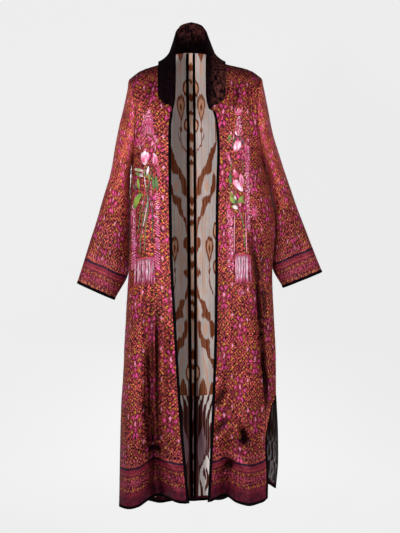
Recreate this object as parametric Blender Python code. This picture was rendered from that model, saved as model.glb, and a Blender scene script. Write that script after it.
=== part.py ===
"""A long open robe (chapan), filled out as worn.

It has brocade panels, a velvet shawl collar, bound edges and an ikat lining.

Metres, +Z up. The front faces -Y and the origin is the middle of the neck, level with the shoulders.
Right and left are the wearer's own, so the right front is at -X.

Each panel is a sheet: a grid of points on its outer face, with rows from the top down and columns from its
inner edge to its outer edge. Walls, bindings and linings are all made from the points of these sheets.
"""

import math

import bpy
import numpy as np
from mathutils import Vector
from mathutils.bvhtree import BVHTree

RIGHT, LEFT = -1, 1
UP = np.array((0.0, 0.0, 1.0))

# Cloth and seams
SHELL = 0.0018
LINING = 0.0010
VELVET = 0.0026
SEAM = 0.0003
HALF_SEAM = 0.00025
BINDING_WIDTH = 0.0055
BINDING_LIP = 0.0008
BAND_THICK = 0.0010
FACING_HEM_GAP = 0.004

# Rows and columns of the sheets
ARMHOLE_ROWS = 12
NECK_STEPS = (0.0, 0.04, 0.15, 0.32, 0.52, 0.72, 0.885, 1.0)
CHEST_ROW = len(NECK_STEPS) - 1
YOKE_ROWS = 5
SHOULDER_COLUMNS = 9
SIDE_CLOSER = 0.45
NECK_COLUMN_LOW = 0.30
NECK_COLUMNS = (0.45, 0.80)
SLEEVE_SIDES = 24
SLIT_STEP = 0.684
FACING_STEP = 0.690
SKIRT_STEPS = (
    *(0.06, 0.12, 0.19, 0.26, 0.33, 0.40, 0.47, 0.54, 0.61),
    *(SLIT_STEP, FACING_STEP),
    *(0.75, 0.81, 0.87, 0.94, 1.0),
)

# Neck, shoulders and armholes
NECK_MIDDLE = -0.017
NECK_Z = 0.028
NECK_BACK_Y = 0.078
NECK_BACK_Z = 0.0548
NECK_ROUND = 2.6
SHOULDER_Y = 0.004
CHEST_Z = -0.153
UNDERARM_Z = -0.285
SLIT_Z = -1.010
FACING_Z = -1.038
ARMHOLE_DEPTH = 0.066
ARMHOLE_SCOOP = 0.017
SCOOP_END = 0.30
UNDERARM_END = 0.07

# How the shape of a panel's top edge fades down its rows: axis, rows it reaches and power of the fade
TOP_FADE = ((0, ARMHOLE_ROWS, 1.5), (1, YOKE_ROWS, 2), (2, ARMHOLE_ROWS, 1.5))


def smooth(places, values, at):
    """A curve through the points with no overshoot (monotone cubic), held level past both ends."""
    steps = np.diff(places)
    slopes = np.diff(values) / steps
    tangents = np.concatenate((slopes[:1], np.zeros(len(slopes) - 1), slopes[-1:]))
    for i in range(1, len(slopes)):
        if slopes[i - 1] * slopes[i] > 0:
            tangents[i] = 2 / (1 / slopes[i - 1] + 1 / slopes[i])
    at = np.clip(at, places[0], places[-1])
    i = np.clip(np.searchsorted(places, at, side="right") - 1, 0, len(steps) - 1)
    step = steps[i]
    t = (at - places[i]) / step
    low = (1 + 2 * t) * (1 - t) ** 2 * values[i] + t * (1 - t) ** 2 * step * tangents[i]
    high = t * t * (3 - 2 * t) * values[i + 1] + t * t * (t - 1) * step * tangents[i + 1]
    return low + high


class Table:
    """Rows of numbers under named columns. at() reads a column at any place along the first one."""

    def __init__(self, names, *rows):
        self.names = names.split()
        self.columns = dict(zip(self.names, np.array(sorted(rows), float).T))

    def at(self, name, place):
        return smooth(self.columns[self.names[0]], self.columns[name], place)


# The shoulder seam, from the side of the neck out to the top of the sleeve
SHOULDER = {
    RIGHT: Table(
        "x z",
        (0.0785, 0.0280),
        (0.1000, 0.0120),
        (0.1220, 0.0030),
        (0.1440, -0.0035),
        (0.1750, -0.0165),
        (0.2093, -0.0430),
    ),
    LEFT: Table(
        "x z",
        (0.0445, 0.0280),
        (0.0680, 0.0140),
        (0.0950, 0.0055),
        (0.1380, -0.0045),
        (0.1660, -0.0135),
        (0.2019, -0.0385),
    ),
}
UNDERARM_X = {RIGHT: 0.1985, LEFT: 0.2055}

# The inner edge of each front: the neckline under the collar, then the bound front edge
FRONT_EDGE = {
    RIGHT: Table(
        "z x y",
        (0.028, 0.0785, 0.004),
        (0.005, 0.0772, -0.024),
        (-0.035, 0.0745, -0.058),
        (-0.080, 0.0725, -0.086),
        (-0.153, 0.0718, -0.112),
        (-0.205, 0.0772, -0.118),
        (-0.360, 0.0763, -0.121),
        (-0.572, 0.0733, -0.118),
        (-0.782, 0.0627, -0.118),
        (-1.083, 0.0444, -0.106),
        (-1.339, 0.0220, -0.082),
    ),
    LEFT: Table(
        "z x y",
        (0.028, 0.0445, 0.004),
        (0.005, 0.0430, -0.024),
        (-0.035, 0.0405, -0.058),
        (-0.080, 0.0385, -0.086),
        (-0.125, 0.0390, -0.105),
        (-0.166, 0.0540, -0.114),
        (-0.205, 0.0605, -0.118),
        (-0.271, 0.0635, -0.120),
        (-0.420, 0.0595, -0.120),
        (-0.782, 0.0560, -0.118),
        (-1.083, 0.0467, -0.106),
        (-1.334, 0.0350, -0.088),
    ),
}

# The side seam below each armhole
SIDE = {
    RIGHT: Table(
        "z x y",
        (-0.285, 0.1985, 0.000),
        (-0.353, 0.2018, 0.000),
        (-0.626, 0.2095, 0.000),
        (-0.787, 0.2186, 0.000),
        (-0.912, 0.2248, 0.000),
        (-1.098, 0.2344, 0.000),
        (-1.363, 0.2393, 0.000),
    ),
    LEFT: Table(
        "z x y",
        (-0.285, 0.2055, 0.000),
        (-0.353, 0.2215, -0.003),
        (-0.415, 0.2330, -0.006),
        (-0.484, 0.2430, -0.010),
        (-0.530, 0.2410, -0.012),
        (-0.600, 0.2345, -0.016),
        (-0.650, 0.2335, -0.020),
        (-0.781, 0.2385, -0.030),
        (-0.912, 0.2440, -0.036),
        (-1.010, 0.2440, -0.040),
        (-1.321, 0.2445, -0.040),
    ),
}

# How far each edge of the open slit moves away from the line of the side seam. The right slit stays shut.
SLIT = {
    (LEFT, "front"): Table(
        "z dx dy",
        (-1.010, 0.0, 0.0),
        (-1.016, -0.0010, -0.0008),
        (-1.060, -0.0165, -0.012),
        (-1.155, -0.0310, -0.032),
        (-1.254, -0.0270, -0.038),
        (-1.321, -0.0285, -0.040),
    ),
    (LEFT, "back"): Table(
        "z dx dy",
        (-1.010, 0.0, 0.0),
        (-1.016, 0.0003, 0.0011),
        (-1.060, 0.0035, 0.018),
        (-1.136, 0.0080, 0.038),
        (-1.220, 0.0095, 0.052),
        (-1.313, 0.0025, 0.060),
    ),
}

# The middle of the back, and how far the middle moves sideways on the way down
BACK_MIDDLE = Table(
    "z x y",
    (0.0548, -0.0190, 0.078),
    (0.010, -0.0190, 0.094),
    (-0.060, -0.0185, 0.111),
    (-0.153, -0.0175, 0.124),
    (-0.285, -0.0165, 0.126),
    (-0.500, -0.0150, 0.116),
    (-0.780, -0.0130, 0.128),
    (-1.060, -0.0115, 0.132),
    (-1.375, -0.0105, 0.134),
)
STRIP_HALF = Table("z half", (0.0548, 0.0105), (-0.60, 0.0095), (-1.375, 0.0050))
BAND_HALF = 0.0032

# Across a panel its depth falls from the inner edge to the side as (1 - s ** flat) ** round
ACROSS = Table(
    "row flat round",
    (0, 2.0, 1.0),
    (6, 2.2, 0.95),
    (12, 2.5, 0.62),
    (16, 2.6, 0.56),
    (28, 2.6, 0.56),
)

# Hem heights across each panel
HEM = {
    "front_right": Table(
        "s z",
        (0.00, -1.3390),
        (0.13, -1.3385),
        (0.28, -1.3340),
        (0.45, -1.3320),
        (0.58, -1.3400),
        (0.72, -1.3550),
        (0.88, -1.3620),
        (1.00, -1.3630),
    ),
    "front_left": Table(
        "s z",
        (0.00, -1.3350),
        (0.14, -1.3290),
        (0.30, -1.3245),
        (0.48, -1.3360),
        (0.70, -1.3410),
        (0.90, -1.3350),
        (1.00, -1.3240),
    ),
    RIGHT: Table("s z", (0.0, -1.375), (0.4, -1.372), (1.0, -1.363)),
    LEFT: Table("s z", (0.0, -1.375), (0.3, -1.368), (0.6, -1.330), (0.85, -1.300), (1.0, -1.313)),
}


def fold(*rows):
    """A fold down a panel: at g down the skirt it lies at s across. Its depth goes into the body."""
    return Table("g s depth width", *rows)


FOLDS = {
    "front_right": (
        fold(
            (0.40, 0.60, 0.000, 0.06),
            (0.50, 0.56, 0.014, 0.08),
            (0.70, 0.49, 0.040, 0.11),
            (0.86, 0.46, 0.062, 0.14),
            (1.00, 0.44, 0.078, 0.17),
        ),
        fold((0.45, 0.32, 0.000, 0.10), (0.75, 0.26, -0.010, 0.10), (1.00, 0.12, -0.006, 0.12)),
        fold((0.45, 0.80, 0.000, 0.12), (0.75, 0.82, -0.014, 0.12), (1.00, 0.86, -0.016, 0.12)),
    ),
    "front_left": (
        fold(
            (0.13, 0.50, 0.000, 0.05),
            (0.17, 0.54, 0.006, 0.05),
            (0.30, 0.69, 0.012, 0.06),
            (0.47, 0.73, 0.016, 0.06),
            (0.69, 0.80, 0.018, 0.07),
            (0.82, 0.95, 0.012, 0.08),
            (1.00, 1.00, 0.000, 0.10),
        ),
        fold((0.72, 0.34, 0.000, 0.08), (0.86, 0.30, 0.022, 0.10), (1.00, 0.28, 0.046, 0.13)),
        fold((0.55, 0.55, 0.000, 0.14), (0.80, 0.62, -0.012, 0.14), (1.00, 0.68, -0.022, 0.15)),
    ),
    RIGHT: (
        fold((0.20, 0.40, 0.000, 0.08), (0.60, 0.42, 0.012, 0.10), (1.00, 0.46, 0.034, 0.12)),
        fold((0.35, 0.70, 0.000, 0.08), (0.70, 0.72, -0.012, 0.10), (1.00, 0.74, -0.024, 0.12)),
    ),
    LEFT: (
        fold((0.15, 0.36, 0.000, 0.07), (0.55, 0.40, 0.014, 0.09), (1.00, 0.40, 0.030, 0.12)),
        fold((0.40, 0.66, 0.000, 0.09), (0.75, 0.66, -0.014, 0.11), (1.00, 0.66, -0.026, 0.13)),
    ),
}

# Sleeves: a ring at each step, between an outer and an inner point, half_depth to front and back of middle y
SLEEVE = {
    RIGHT: Table(
        "t outer_x outer_z inner_x inner_z half_depth y",
        (0.00, 0.2093, -0.0430, 0.1985, -0.285, 0.066, 0.004),
        (0.07, 0.2165, -0.085, 0.2000, -0.302, 0.069, 0.006),
        (0.15, 0.2255, -0.125, 0.2015, -0.322, 0.071, 0.014),
        (0.25, 0.2385, -0.177, 0.2025, -0.350, 0.071, 0.024),
        (0.37, 0.2548, -0.257, 0.2030, -0.400, 0.068, 0.030),
        (0.50, 0.2706, -0.338, 0.2040, -0.455, 0.063, 0.032),
        (0.63, 0.2942, -0.4154, 0.2060, -0.520, 0.056, 0.032),
        (0.82, 0.3330, -0.5395, 0.2120, -0.635, 0.042, 0.026),
        (1.00, 0.3706, -0.6728, 0.2560, -0.724, 0.027, 0.012),
    ),
    LEFT: Table(
        "t outer_x outer_z inner_x inner_z half_depth y",
        (0.00, 0.2019, -0.0385, 0.2055, -0.285, 0.066, 0.004),
        (0.07, 0.2115, -0.077, 0.2095, -0.302, 0.070, 0.006),
        (0.15, 0.2215, -0.125, 0.2145, -0.322, 0.073, 0.014),
        (0.25, 0.2345, -0.190, 0.2200, -0.350, 0.074, 0.026),
        (0.37, 0.2612, -0.2758, 0.2290, -0.395, 0.074, 0.036),
        (0.50, 0.2868, -0.3534, 0.2370, -0.455, 0.070, 0.040),
        (0.63, 0.3132, -0.4310, 0.2380, -0.525, 0.062, 0.040),
        (0.82, 0.3500, -0.5270, 0.2350, -0.612, 0.044, 0.034),
        (1.00, 0.3904, -0.6380, 0.2690, -0.687, 0.027, 0.016),
    ),
}
SLEEVE_STEPS = (0.0, 0.05, 0.11, 0.18, 0.27, 0.37, 0.48, 0.60, 0.72, 0.86, 1.0)


def lerp(a, b, t):
    return a + (b - a) * t


def unit(vectors):
    return vectors / np.maximum(np.linalg.norm(vectors, axis=-1, keepdims=True), 1e-12)


# ---------------------------------------------------------------- sheets


def armhole(side, where):
    """The armhole seam from the shoulder down to the underarm, over the front or the back of the arm."""
    tip_x = SHOULDER[side].columns["x"][-1]
    tip_z = SHOULDER[side].at("z", tip_x)
    turn = np.pi * np.arange(ARMHOLE_ROWS + 1) / ARMHOLE_ROWS
    down = (1 - np.cos(turn)) / 2
    forward = -1 if where == "front" else 1
    x = lerp(tip_x, UNDERARM_X[side], down) - ARMHOLE_SCOOP * np.sin(turn) ** 2
    y = SHOULDER_Y * (1 - down) + forward * ARMHOLE_DEPTH * np.sin(turn)
    return np.column_stack((side * x, y, lerp(tip_z, UNDERARM_Z, down)))


def skirt_z(at_slit, at_hem):
    """Heights of the rows below the armhole, with one of them at the slit's top."""
    g = np.array(SKIRT_STEPS)
    upper = lerp(UNDERARM_Z, at_slit, g / SLIT_STEP)
    lower = lerp(at_slit, at_hem, (g - SLIT_STEP) / (1 - SLIT_STEP))
    return np.where(g <= SLIT_STEP, upper, lower)


def side_line(side, where, hem_z):
    """The outer edge of a panel: its armhole, then its side down to the hem."""
    z = skirt_z(SLIT_Z, hem_z)
    x, y = (SIDE[side].at(axis, z) for axis in "xy")
    if (side, where) in SLIT:
        apart = SLIT[side, where]
        x, y = x + apart.at("dx", z), y + apart.at("dy", z)
    return np.concatenate((armhole(side, where), np.column_stack((side * x, y, z))))


def edge_z(top, hem_z):
    """Heights of all rows along an inner edge, with one of them at the chest where the collar ends."""
    upper = lerp(top, CHEST_Z, np.array(NECK_STEPS))
    lower = np.linspace(CHEST_Z, UNDERARM_Z, ARMHOLE_ROWS - CHEST_ROW + 1)[1:]
    return np.concatenate((upper, lower, skirt_z(FACING_Z, hem_z)))


def shoulder_seam(side):
    table = SHOULDER[side]
    x = np.linspace(table.columns["x"][0], table.columns["x"][-1], SHOULDER_COLUMNS + 1)
    return np.column_stack((side * x, np.full(len(x), SHOULDER_Y), table.at("z", x)))


def neck_curve(side, turn):
    """The back neck seam, turn 0 at the middle of the back and 1 at the shoulder seam."""
    y = lerp(SHOULDER_Y, NECK_BACK_Y, np.sqrt(np.maximum(1 - turn**NECK_ROUND, 0)))
    x = lerp(BACK_MIDDLE.at("x", NECK_BACK_Z), shoulder_seam(side)[0, 0], turn)
    z = lerp(NECK_Z, NECK_BACK_Z, (y - SHOULDER_Y) / (NECK_BACK_Y - SHOULDER_Y))
    return np.column_stack((x, y, z))


def row_depths():
    """How far down the skirt each row is, 0 at the armhole's foot and 1 at the hem."""
    return np.concatenate((np.zeros(ARMHOLE_ROWS + 1), SKIRT_STEPS))


def spread_columns(rows):
    """Columns evenly apart in the top row, which lie closer towards the side below the armhole."""
    even = np.linspace(0, 1, SHOULDER_COLUMNS + 1)[None]
    below = np.clip(np.arange(rows) / ARMHOLE_ROWS, 0, 1)[:, None]
    return lerp(even, np.sin(even * np.pi / 2), below * SIDE_CLOSER)


def hang(inner, outer, across, top, hem, folds, inward):
    """A panel between its inner and outer edges, whose first row is top and whose last follows its hem.

    across holds each row's columns, 0 at the inner edge and 1 at the outer one.
    """
    rows = np.arange(len(inner))
    s = across
    flat = ACROSS.at("flat", rows)[:, None]
    rounding = ACROSS.at("round", rows)[:, None]
    profile = np.maximum(1 - s**flat, 0) ** rounding
    x = lerp(inner[:, None, 0], outer[:, None, 0], s)
    y = lerp(outer[:, None, 1], inner[:, None, 1], profile)
    z = lerp(inner[:, None, 2], outer[:, None, 2], s)
    sheet = np.stack((x, y, z), axis=-1)
    first_row = top - sheet[0]
    for axis, reach, power in TOP_FADE:
        fade = np.clip(1 - rows / reach, 0, 1)[:, None] ** power
        sheet[..., axis] += first_row[:, axis] * fade
    g = row_depths()[:, None]
    low = np.clip((g - SLIT_STEP) / (1 - SLIT_STEP), 0, 1) ** 2
    sheet[..., 2] += (hem.at("z", s) - lerp(inner[-1, 2], outer[-1, 2], s)) * low
    held_at_side = 1 - s**10
    for crease in folds:
        away = (s - crease.at("s", g)) / crease.at("width", g)
        sheet[..., 1] += inward * crease.at("depth", g) * np.exp(-(away**2)) * held_at_side
    return sheet


def front_sheet(side):
    name = "front_right" if side == RIGHT else "front_left"
    hem = HEM[name]
    edge = FRONT_EDGE[side]
    z = edge_z(NECK_Z, hem.at("z", 0.0))
    inner = np.column_stack((side * edge.at("x", z), edge.at("y", z), z))
    outer = side_line(side, "front", hem.at("z", 1.0))
    return hang(inner, outer, spread_columns(len(z)), shoulder_seam(side), hem, FOLDS[name], 1)


def back_half(side):
    """Half of the back, from the strip at its middle out to the armhole and the side."""
    hem = HEM[side]
    z = edge_z(NECK_BACK_Z, hem.at("z", 0.0))
    inner = np.column_stack((BACK_MIDDLE.at("x", z), BACK_MIDDLE.at("y", z), z))
    outer = side_line(side, "back", hem.at("z", 1.0))
    seam = shoulder_seam(side)
    # The neck's columns: both edges of the black band, then two more on the way to the side of the neck
    half = STRIP_HALF.at("half", z)
    width = np.abs(outer[:, 0] - inner[:, 0])
    near = np.column_stack(((half - BAND_HALF) / width, (half + BAND_HALF) / width))
    neck = abs(seam[0, 0] - inner[0, 0]) / width[0]
    neck_rows = lerp(neck, NECK_COLUMN_LOW, np.clip(np.arange(len(z)) / ARMHOLE_ROWS, 0, 1))
    middle = [lerp(near[:, 1], neck_rows, t) for t in NECK_COLUMNS]
    across = np.column_stack((near, *middle, lerp(neck_rows[:, None], 1, spread_columns(len(z)))))
    top = np.concatenate((neck_curve(side, across[0, : 2 + len(middle)] / neck), seam))
    return hang(inner, outer, across, top, hem, FOLDS[side], -1)


def back_sheet():
    """Both halves side by side, from the wearer's right to the left."""
    return np.concatenate((back_half(RIGHT)[:, ::-1], back_half(LEFT)), axis=1)


def sleeve_sheet(side):
    """Rings from the armhole to the cuff, each starting at its outer point and going over the front."""
    table = SLEEVE[side]
    t = np.array(SLEEVE_STEPS)[:, None]
    turn = 2 * np.pi * np.arange(SLEEVE_SIDES)[None] / SLEEVE_SIDES
    down = (1 - np.cos(turn)) / 2
    scoop = ARMHOLE_SCOOP * np.clip(1 - t / SCOOP_END, 0, 1) ** 2 * np.sin(turn) ** 2
    x = lerp(table.at("outer_x", t), table.at("inner_x", t), down) - scoop
    middle = table.at("y", t)
    y = lerp(middle, middle * np.clip(t / UNDERARM_END, 0, 1), down)
    y = y - table.at("half_depth", t) * np.sin(turn)
    z = lerp(table.at("outer_z", t), table.at("inner_z", t), down)
    return np.stack((side * x, y, z), axis=-1)


# ---------------------------------------------------------------- walls


def grid_normals(sheet, outward, ring=False):
    """Unit normals of a sheet, on the side where outward is 1 for rows down crossed with columns across."""
    down = np.gradient(sheet, axis=0)
    if ring:
        across = np.roll(sheet, -1, axis=1) - np.roll(sheet, 1, axis=1)
    else:
        across = np.gradient(sheet, axis=1)
    return outward * unit(np.cross(down, across))


def share_seams(sheets, normals):
    """Where sheets meet at a seam, each takes the mean of their normals, so that their ends stay parallel."""
    met = {}
    places = []
    for name, sheet in sheets.items():
        keys = [tuple(key) for key in np.round(sheet.reshape(-1, 3), 5)]
        flat = normals[name].reshape(-1, 3)
        places.append((flat, keys))
        for key, normal in zip(keys, flat):
            met.setdefault(key, []).append(normal)
    for flat, keys in places:
        for i, key in enumerate(keys):
            if len(met[key]) > 1:
                flat[i] = unit(np.sum(met[key], axis=0))


def pull_in(sheet, normals, edge, distance):
    """Moves one edge of a sheet in along the cloth by distance, a number or one for each point."""
    line, following, along = {
        "top": (np.s_[0], np.s_[1], 0),
        "bottom": (np.s_[-1], np.s_[-2], 0),
        "first": (np.s_[:, 0], np.s_[:, 1], 1),
        "last": (np.s_[:, -1], np.s_[:, -2], 1),
    }[edge]
    toward = sheet[following] - sheet[line]
    normal = normals[line]
    toward -= normal * np.sum(toward * normal, axis=-1, keepdims=True)
    moved = sheet.copy()
    moved[line] = sheet[line] + unit(toward) * np.reshape(distance, (-1, 1))
    return moved


def material(name, color, roughness, metallic=0.0):
    made = bpy.data.materials.get(name)
    if made is None:
        made = bpy.data.materials.new(name)
        made.use_nodes = True
        shader = made.node_tree.nodes["Principled BSDF"]
        shader.inputs["Base Color"].default_value = (*color, 1)
        shader.inputs["Roughness"].default_value = roughness
        shader.inputs["Metallic"].default_value = metallic
    return made


BROCADE = ("brocade", (0.20, 0.03, 0.04), 0.45)
VELVET_PILE = ("velvet", (0.012, 0.004, 0.004), 0.7)
IKAT = ("ikat_lining", (0.55, 0.50, 0.47), 0.55)
DARK_IKAT = ("dark_ikat_facing", (0.10, 0.04, 0.03), 0.55)
BLACK = ("black_binding", (0.005, 0.004, 0.004), 0.5)
PINK = ("pink_floss", (0.80, 0.22, 0.40), 0.5)


def add_object(name, points, faces, finish):
    mesh = bpy.data.meshes.new(name)
    mesh.from_pydata([tuple(point) for point in points], [], faces)
    mesh.update()
    mesh.materials.append(material(*finish))
    made = bpy.data.objects.new(name, mesh)
    bpy.context.scene.collection.objects.link(made)
    return made


def layer_faces(rows, columns, ring):
    """Two triangles for each cell of a grid, all split the same way so that parallel layers never cross."""
    faces = []
    for r in range(rows - 1):
        for c in range(columns if ring else columns - 1):
            after = (c + 1) % columns
            a, b = r * columns + c, r * columns + after
            d, e = (r + 1) * columns + c, (r + 1) * columns + after
            faces += [(a, d, e), (a, e, b)]
    return faces


def rim_lines(rows, columns, ring):
    """The open edges of a grid, each as a run of point numbers in the order that closes the wall."""
    first = [r * columns for r in range(rows)]
    last = [r * columns + columns - 1 for r in range(rows)]
    top = list(range(columns))
    bottom = [(rows - 1) * columns + c for c in range(columns)]
    if ring:
        return [top[::-1] + top[-1:], bottom + bottom[:1]]
    return [top[::-1], first, bottom, last[::-1]]


def add_wall(name, outer, inner, finish, outward, ring=False):
    """A closed wall between two grids of the same shape. outward is the side that grid_normals took."""
    rows, columns = outer.shape[:2]
    count = rows * columns
    faces = layer_faces(rows, columns, ring)
    faces += [tuple(count + i for i in face[::-1]) for face in faces]
    for line in rim_lines(rows, columns, ring):
        for i, j in zip(line, line[1:]):
            if i < j:
                faces += [(i, i + count, j + count), (i, j + count, j)]
            else:
                faces += [(i, i + count, j), (j, i + count, j + count)]
    if outward < 0:
        faces = [face[::-1] for face in faces]
    points = np.concatenate((outer.reshape(-1, 3), inner.reshape(-1, 3)))
    return add_object(name, points, faces, finish)


def add_cloth(name, sheet, normals, top, thick, finish, outward, ring=False):
    """A wall of one thickness whose outer face lies top below the sheet."""
    return add_wall(name, sheet - normals * top, sheet - normals * (top + thick), finish, outward, ring)


def add_binding(name, line, inward, normals, finish, outward, ring=False):
    """A folded strip along an edge: it reaches in by its width and stands proud of both faces."""
    line = line + inward * HALF_SEAM
    top = line + inward * BINDING_WIDTH
    if ring:
        sheet, out = np.stack((top, line)), np.stack((normals, normals))
    else:
        sheet, out = np.stack((line, top), axis=1), np.stack((normals, normals), axis=1)
    under = sheet - out * (SHELL + BINDING_LIP)
    return add_wall(name, sheet + out * BINDING_LIP, under, finish, outward, ring)


# ---------------------------------------------------------------- collar

# Stations of the collar from the middle of the back to its end at the chest. x is out from the neck's middle.
# The stand rises from the neck seam to the roll, and the fall goes by a middle point to its free edge.
# Behind the shoulder seam, turn places the seam on the back neck. Before it, seam_z places it on the front.
COLLAR = Table(
    "u turn seam_z roll_x roll_y roll_z mid_x mid_y mid_z edge_x edge_y edge_z",
    (0.00, 0.00, 0.028, 0.0000, 0.090, 0.1510, 0.000, 0.116, 0.100, 0.000, 0.123, 0.040),
    (0.10, 0.44, 0.028, 0.0220, 0.086, 0.1450, 0.032, 0.112, 0.096, 0.040, 0.119, 0.036),
    (0.20, 0.78, 0.028, 0.0405, 0.072, 0.1310, 0.056, 0.096, 0.082, 0.070, 0.104, 0.022),
    (0.30, 0.96, 0.028, 0.0478, 0.047, 0.1100, 0.066, 0.065, 0.060, 0.090, 0.072, 0.006),
    (0.40, 1.00, 0.028, 0.0475, 0.014, 0.0820, 0.0665, 0.020, 0.045, 0.0995, 0.022, 0.0150),
    (0.50, 1.00, 0.003, 0.0465, -0.020, 0.0460, 0.070, -0.022, 0.020, 0.1005, -0.022, 0.0080),
    (0.60, 1.00, -0.035, 0.0455, -0.058, 0.0020, 0.072, -0.062, -0.012, 0.1005, -0.066, -0.024),
    (0.70, 1.00, -0.078, 0.0452, -0.092, -0.0450, 0.072, -0.095, -0.055, 0.1000, -0.092, -0.068),
    (0.80, 1.00, -0.117, 0.0455, -0.113, -0.0900, 0.071, -0.112, -0.097, 0.0985, -0.107, -0.104),
    (0.90, 1.00, -0.140, 0.0470, -0.121, -0.1220, 0.067, -0.121, -0.124, 0.0860, -0.114, -0.126),
    (1.00, 1.00, -0.153, 0.0535, -0.123, -0.1480, 0.0570, -0.1245, -0.1460, 0.0640, -0.1215, -0.1400),
)
SHOULDER_STATION = 0.40
COLLAR_STEPS = (0.04, 0.10, 0.16, 0.22, 0.28, 0.34, 0.40, 0.46, 0.53, 0.60, 0.67, 0.74, 0.81, 0.88, 0.94, 1.0)
# Where each row across the collar lies: on the stand 0 to 1, then on the fall 1 to 2
COLLAR_ROWS = (0.0, 0.35, 0.70, 0.93, 1.0, 1.10, 1.45, 1.75, 2.0)
ROLL_LIFT = 0.0027
WIDER_LEFT = 1.06


def collar_point(side, u, v):
    """A point on the collar: u along it from the middle of the back, v across it from seam to edge."""
    wide = WIDER_LEFT if side == LEFT else 1.0
    parts = ("roll", "mid", "edge")
    roll, mid, edge = (np.array([COLLAR.at(f"{part}_{axis}", u) for axis in "xyz"]) for part in parts)
    mid[0], edge[0] = mid[0] * wide, edge[0] * wide
    for place in (roll, mid, edge):
        place[0] = NECK_MIDDLE + side * place[0]
    if u <= SHOULDER_STATION:
        seam = neck_curve(side, np.array([COLLAR.at("turn", u)]))[0]
    else:
        z = COLLAR.at("seam_z", u)
        seam = np.array((side * FRONT_EDGE[side].at("x", z), FRONT_EDGE[side].at("y", z), z))
    if v <= 1:
        return lerp(seam, roll, v) + UP * ROLL_LIFT * v**8
    t = v - 1
    curve = (1 - t) * (1 - 2 * t) * roll + 4 * t * (1 - t) * mid + t * (2 * t - 1) * edge
    return curve + UP * ROLL_LIFT * (1 - t) ** 8


def collar_sheet():
    """Rows from the neck seam over the roll to the free edge, columns from the right end to the left."""
    stops = [(RIGHT, u) for u in reversed(COLLAR_STEPS)] + [(LEFT, u) for u in COLLAR_STEPS]
    return np.array([[collar_point(side, u, v) for side, u in stops] for v in COLLAR_ROWS])


# ---------------------------------------------------------------- flowers and fringes

# Raised flower heads on the fronts: place, half width, half height, petals and the way they lean
FLOWERS = (
    ("tulip_right_upper", RIGHT, -0.1550, -0.288, 0.0165, 0.0200, 3, 0.15),
    ("tulip_right_lower", RIGHT, -0.1250, -0.298, 0.0120, 0.0150, 3, -0.25),
    ("rose_left_upper", LEFT, 0.1200, -0.262, 0.0150, 0.0140, 5, 0.0),
    ("rose_left_middle", LEFT, 0.1150, -0.343, 0.0140, 0.0150, 5, 0.4),
    ("rose_left_lower", LEFT, 0.1300, -0.367, 0.0140, 0.0160, 5, 0.9),
)
FLOWER_SIDES = 16
FLOWER_RINGS = (0.55, 1.0)
FLOWER_RISE = 0.0036
FLOWER_GAP = 0.0009
FLOWER_DOME = 0.94
LOBE_DEPTH = 0.16
LOBE_RISE = 0.45

# Fringes: the head's two top corners, strand length at each end and number of strands
FRINGES = {
    RIGHT: ("fringe_right", (-0.1845, -0.597), (-0.1255, -0.588), 0.075, 0.084, 20),
    LEFT: ("fringe_left", (0.1130, -0.576), (0.1640, -0.580), 0.093, 0.090, 18),
}
HEAD_HEIGHT = 0.005
HEAD_THICK = 0.0022
STRAND_RADIUS = 0.0011
STRAND_GAP = 0.0012
STRAND_STEPS = 4
HEAD_MARKS = 7


def surface_of(sheet, outward):
    """The outer face of a panel, for laying things on it."""
    rows, columns = sheet.shape[:2]
    points = [Vector(point) for point in sheet.reshape(-1, 3)]
    return BVHTree.FromPolygons(points, layer_faces(rows, columns, False))


def lay(surface, x, z, out):
    """The point on a front panel at x and z, moved out of it."""
    place, normal = surface.ray_cast(Vector((x, -1, z)), Vector((0, 1, 0)))[:2]
    if normal.y > 0:
        normal = -normal
    return np.array(place + normal * out)


def add_flower(surface, name, x, z, half_width, half_height, petals, lean):
    """A padded flower head: a lobed disc, domed over each petal and flat underneath."""
    outer = [lay(surface, x, z, FLOWER_GAP + FLOWER_RISE)]
    under = [lay(surface, x, z, FLOWER_GAP)]
    for ring in FLOWER_RINGS:
        for i in range(FLOWER_SIDES):
            turn = 2 * math.pi * i / FLOWER_SIDES
            lobe = 1 - LOBE_DEPTH * (0.5 - 0.5 * math.cos(petals * (turn + lean)))
            px = x + ring * lobe * half_width * math.cos(turn)
            pz = z + ring * lobe * half_height * math.sin(turn)
            dome = math.sqrt(1 - (ring * FLOWER_DOME) ** 2)
            rise = FLOWER_RISE * dome * (1 - LOBE_RISE + LOBE_RISE * lobe)
            outer.append(lay(surface, px, pz, FLOWER_GAP + rise))
            under.append(lay(surface, px, pz, FLOWER_GAP))
    count = len(outer)
    faces = []
    for i in range(FLOWER_SIDES):
        j = (i + 1) % FLOWER_SIDES
        faces.append((0, 1 + i, 1 + j))
        for ring in range(len(FLOWER_RINGS) - 1):
            a, b = 1 + ring * FLOWER_SIDES + i, 1 + ring * FLOWER_SIDES + j
            d, e = a + FLOWER_SIDES, b + FLOWER_SIDES
            faces += [(a, d, e), (a, e, b)]
    faces = [face[::-1] for face in faces] + [tuple(count + k for k in face) for face in faces]
    rim = 1 + (len(FLOWER_RINGS) - 1) * FLOWER_SIDES
    for i in range(FLOWER_SIDES):
        a, b = rim + i, rim + (i + 1) % FLOWER_SIDES
        faces += [(a, b, b + count), (a, b + count, a + count)]
    faces = [face[::-1] for face in faces]
    return add_object(name, outer + under, faces, PINK)


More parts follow.
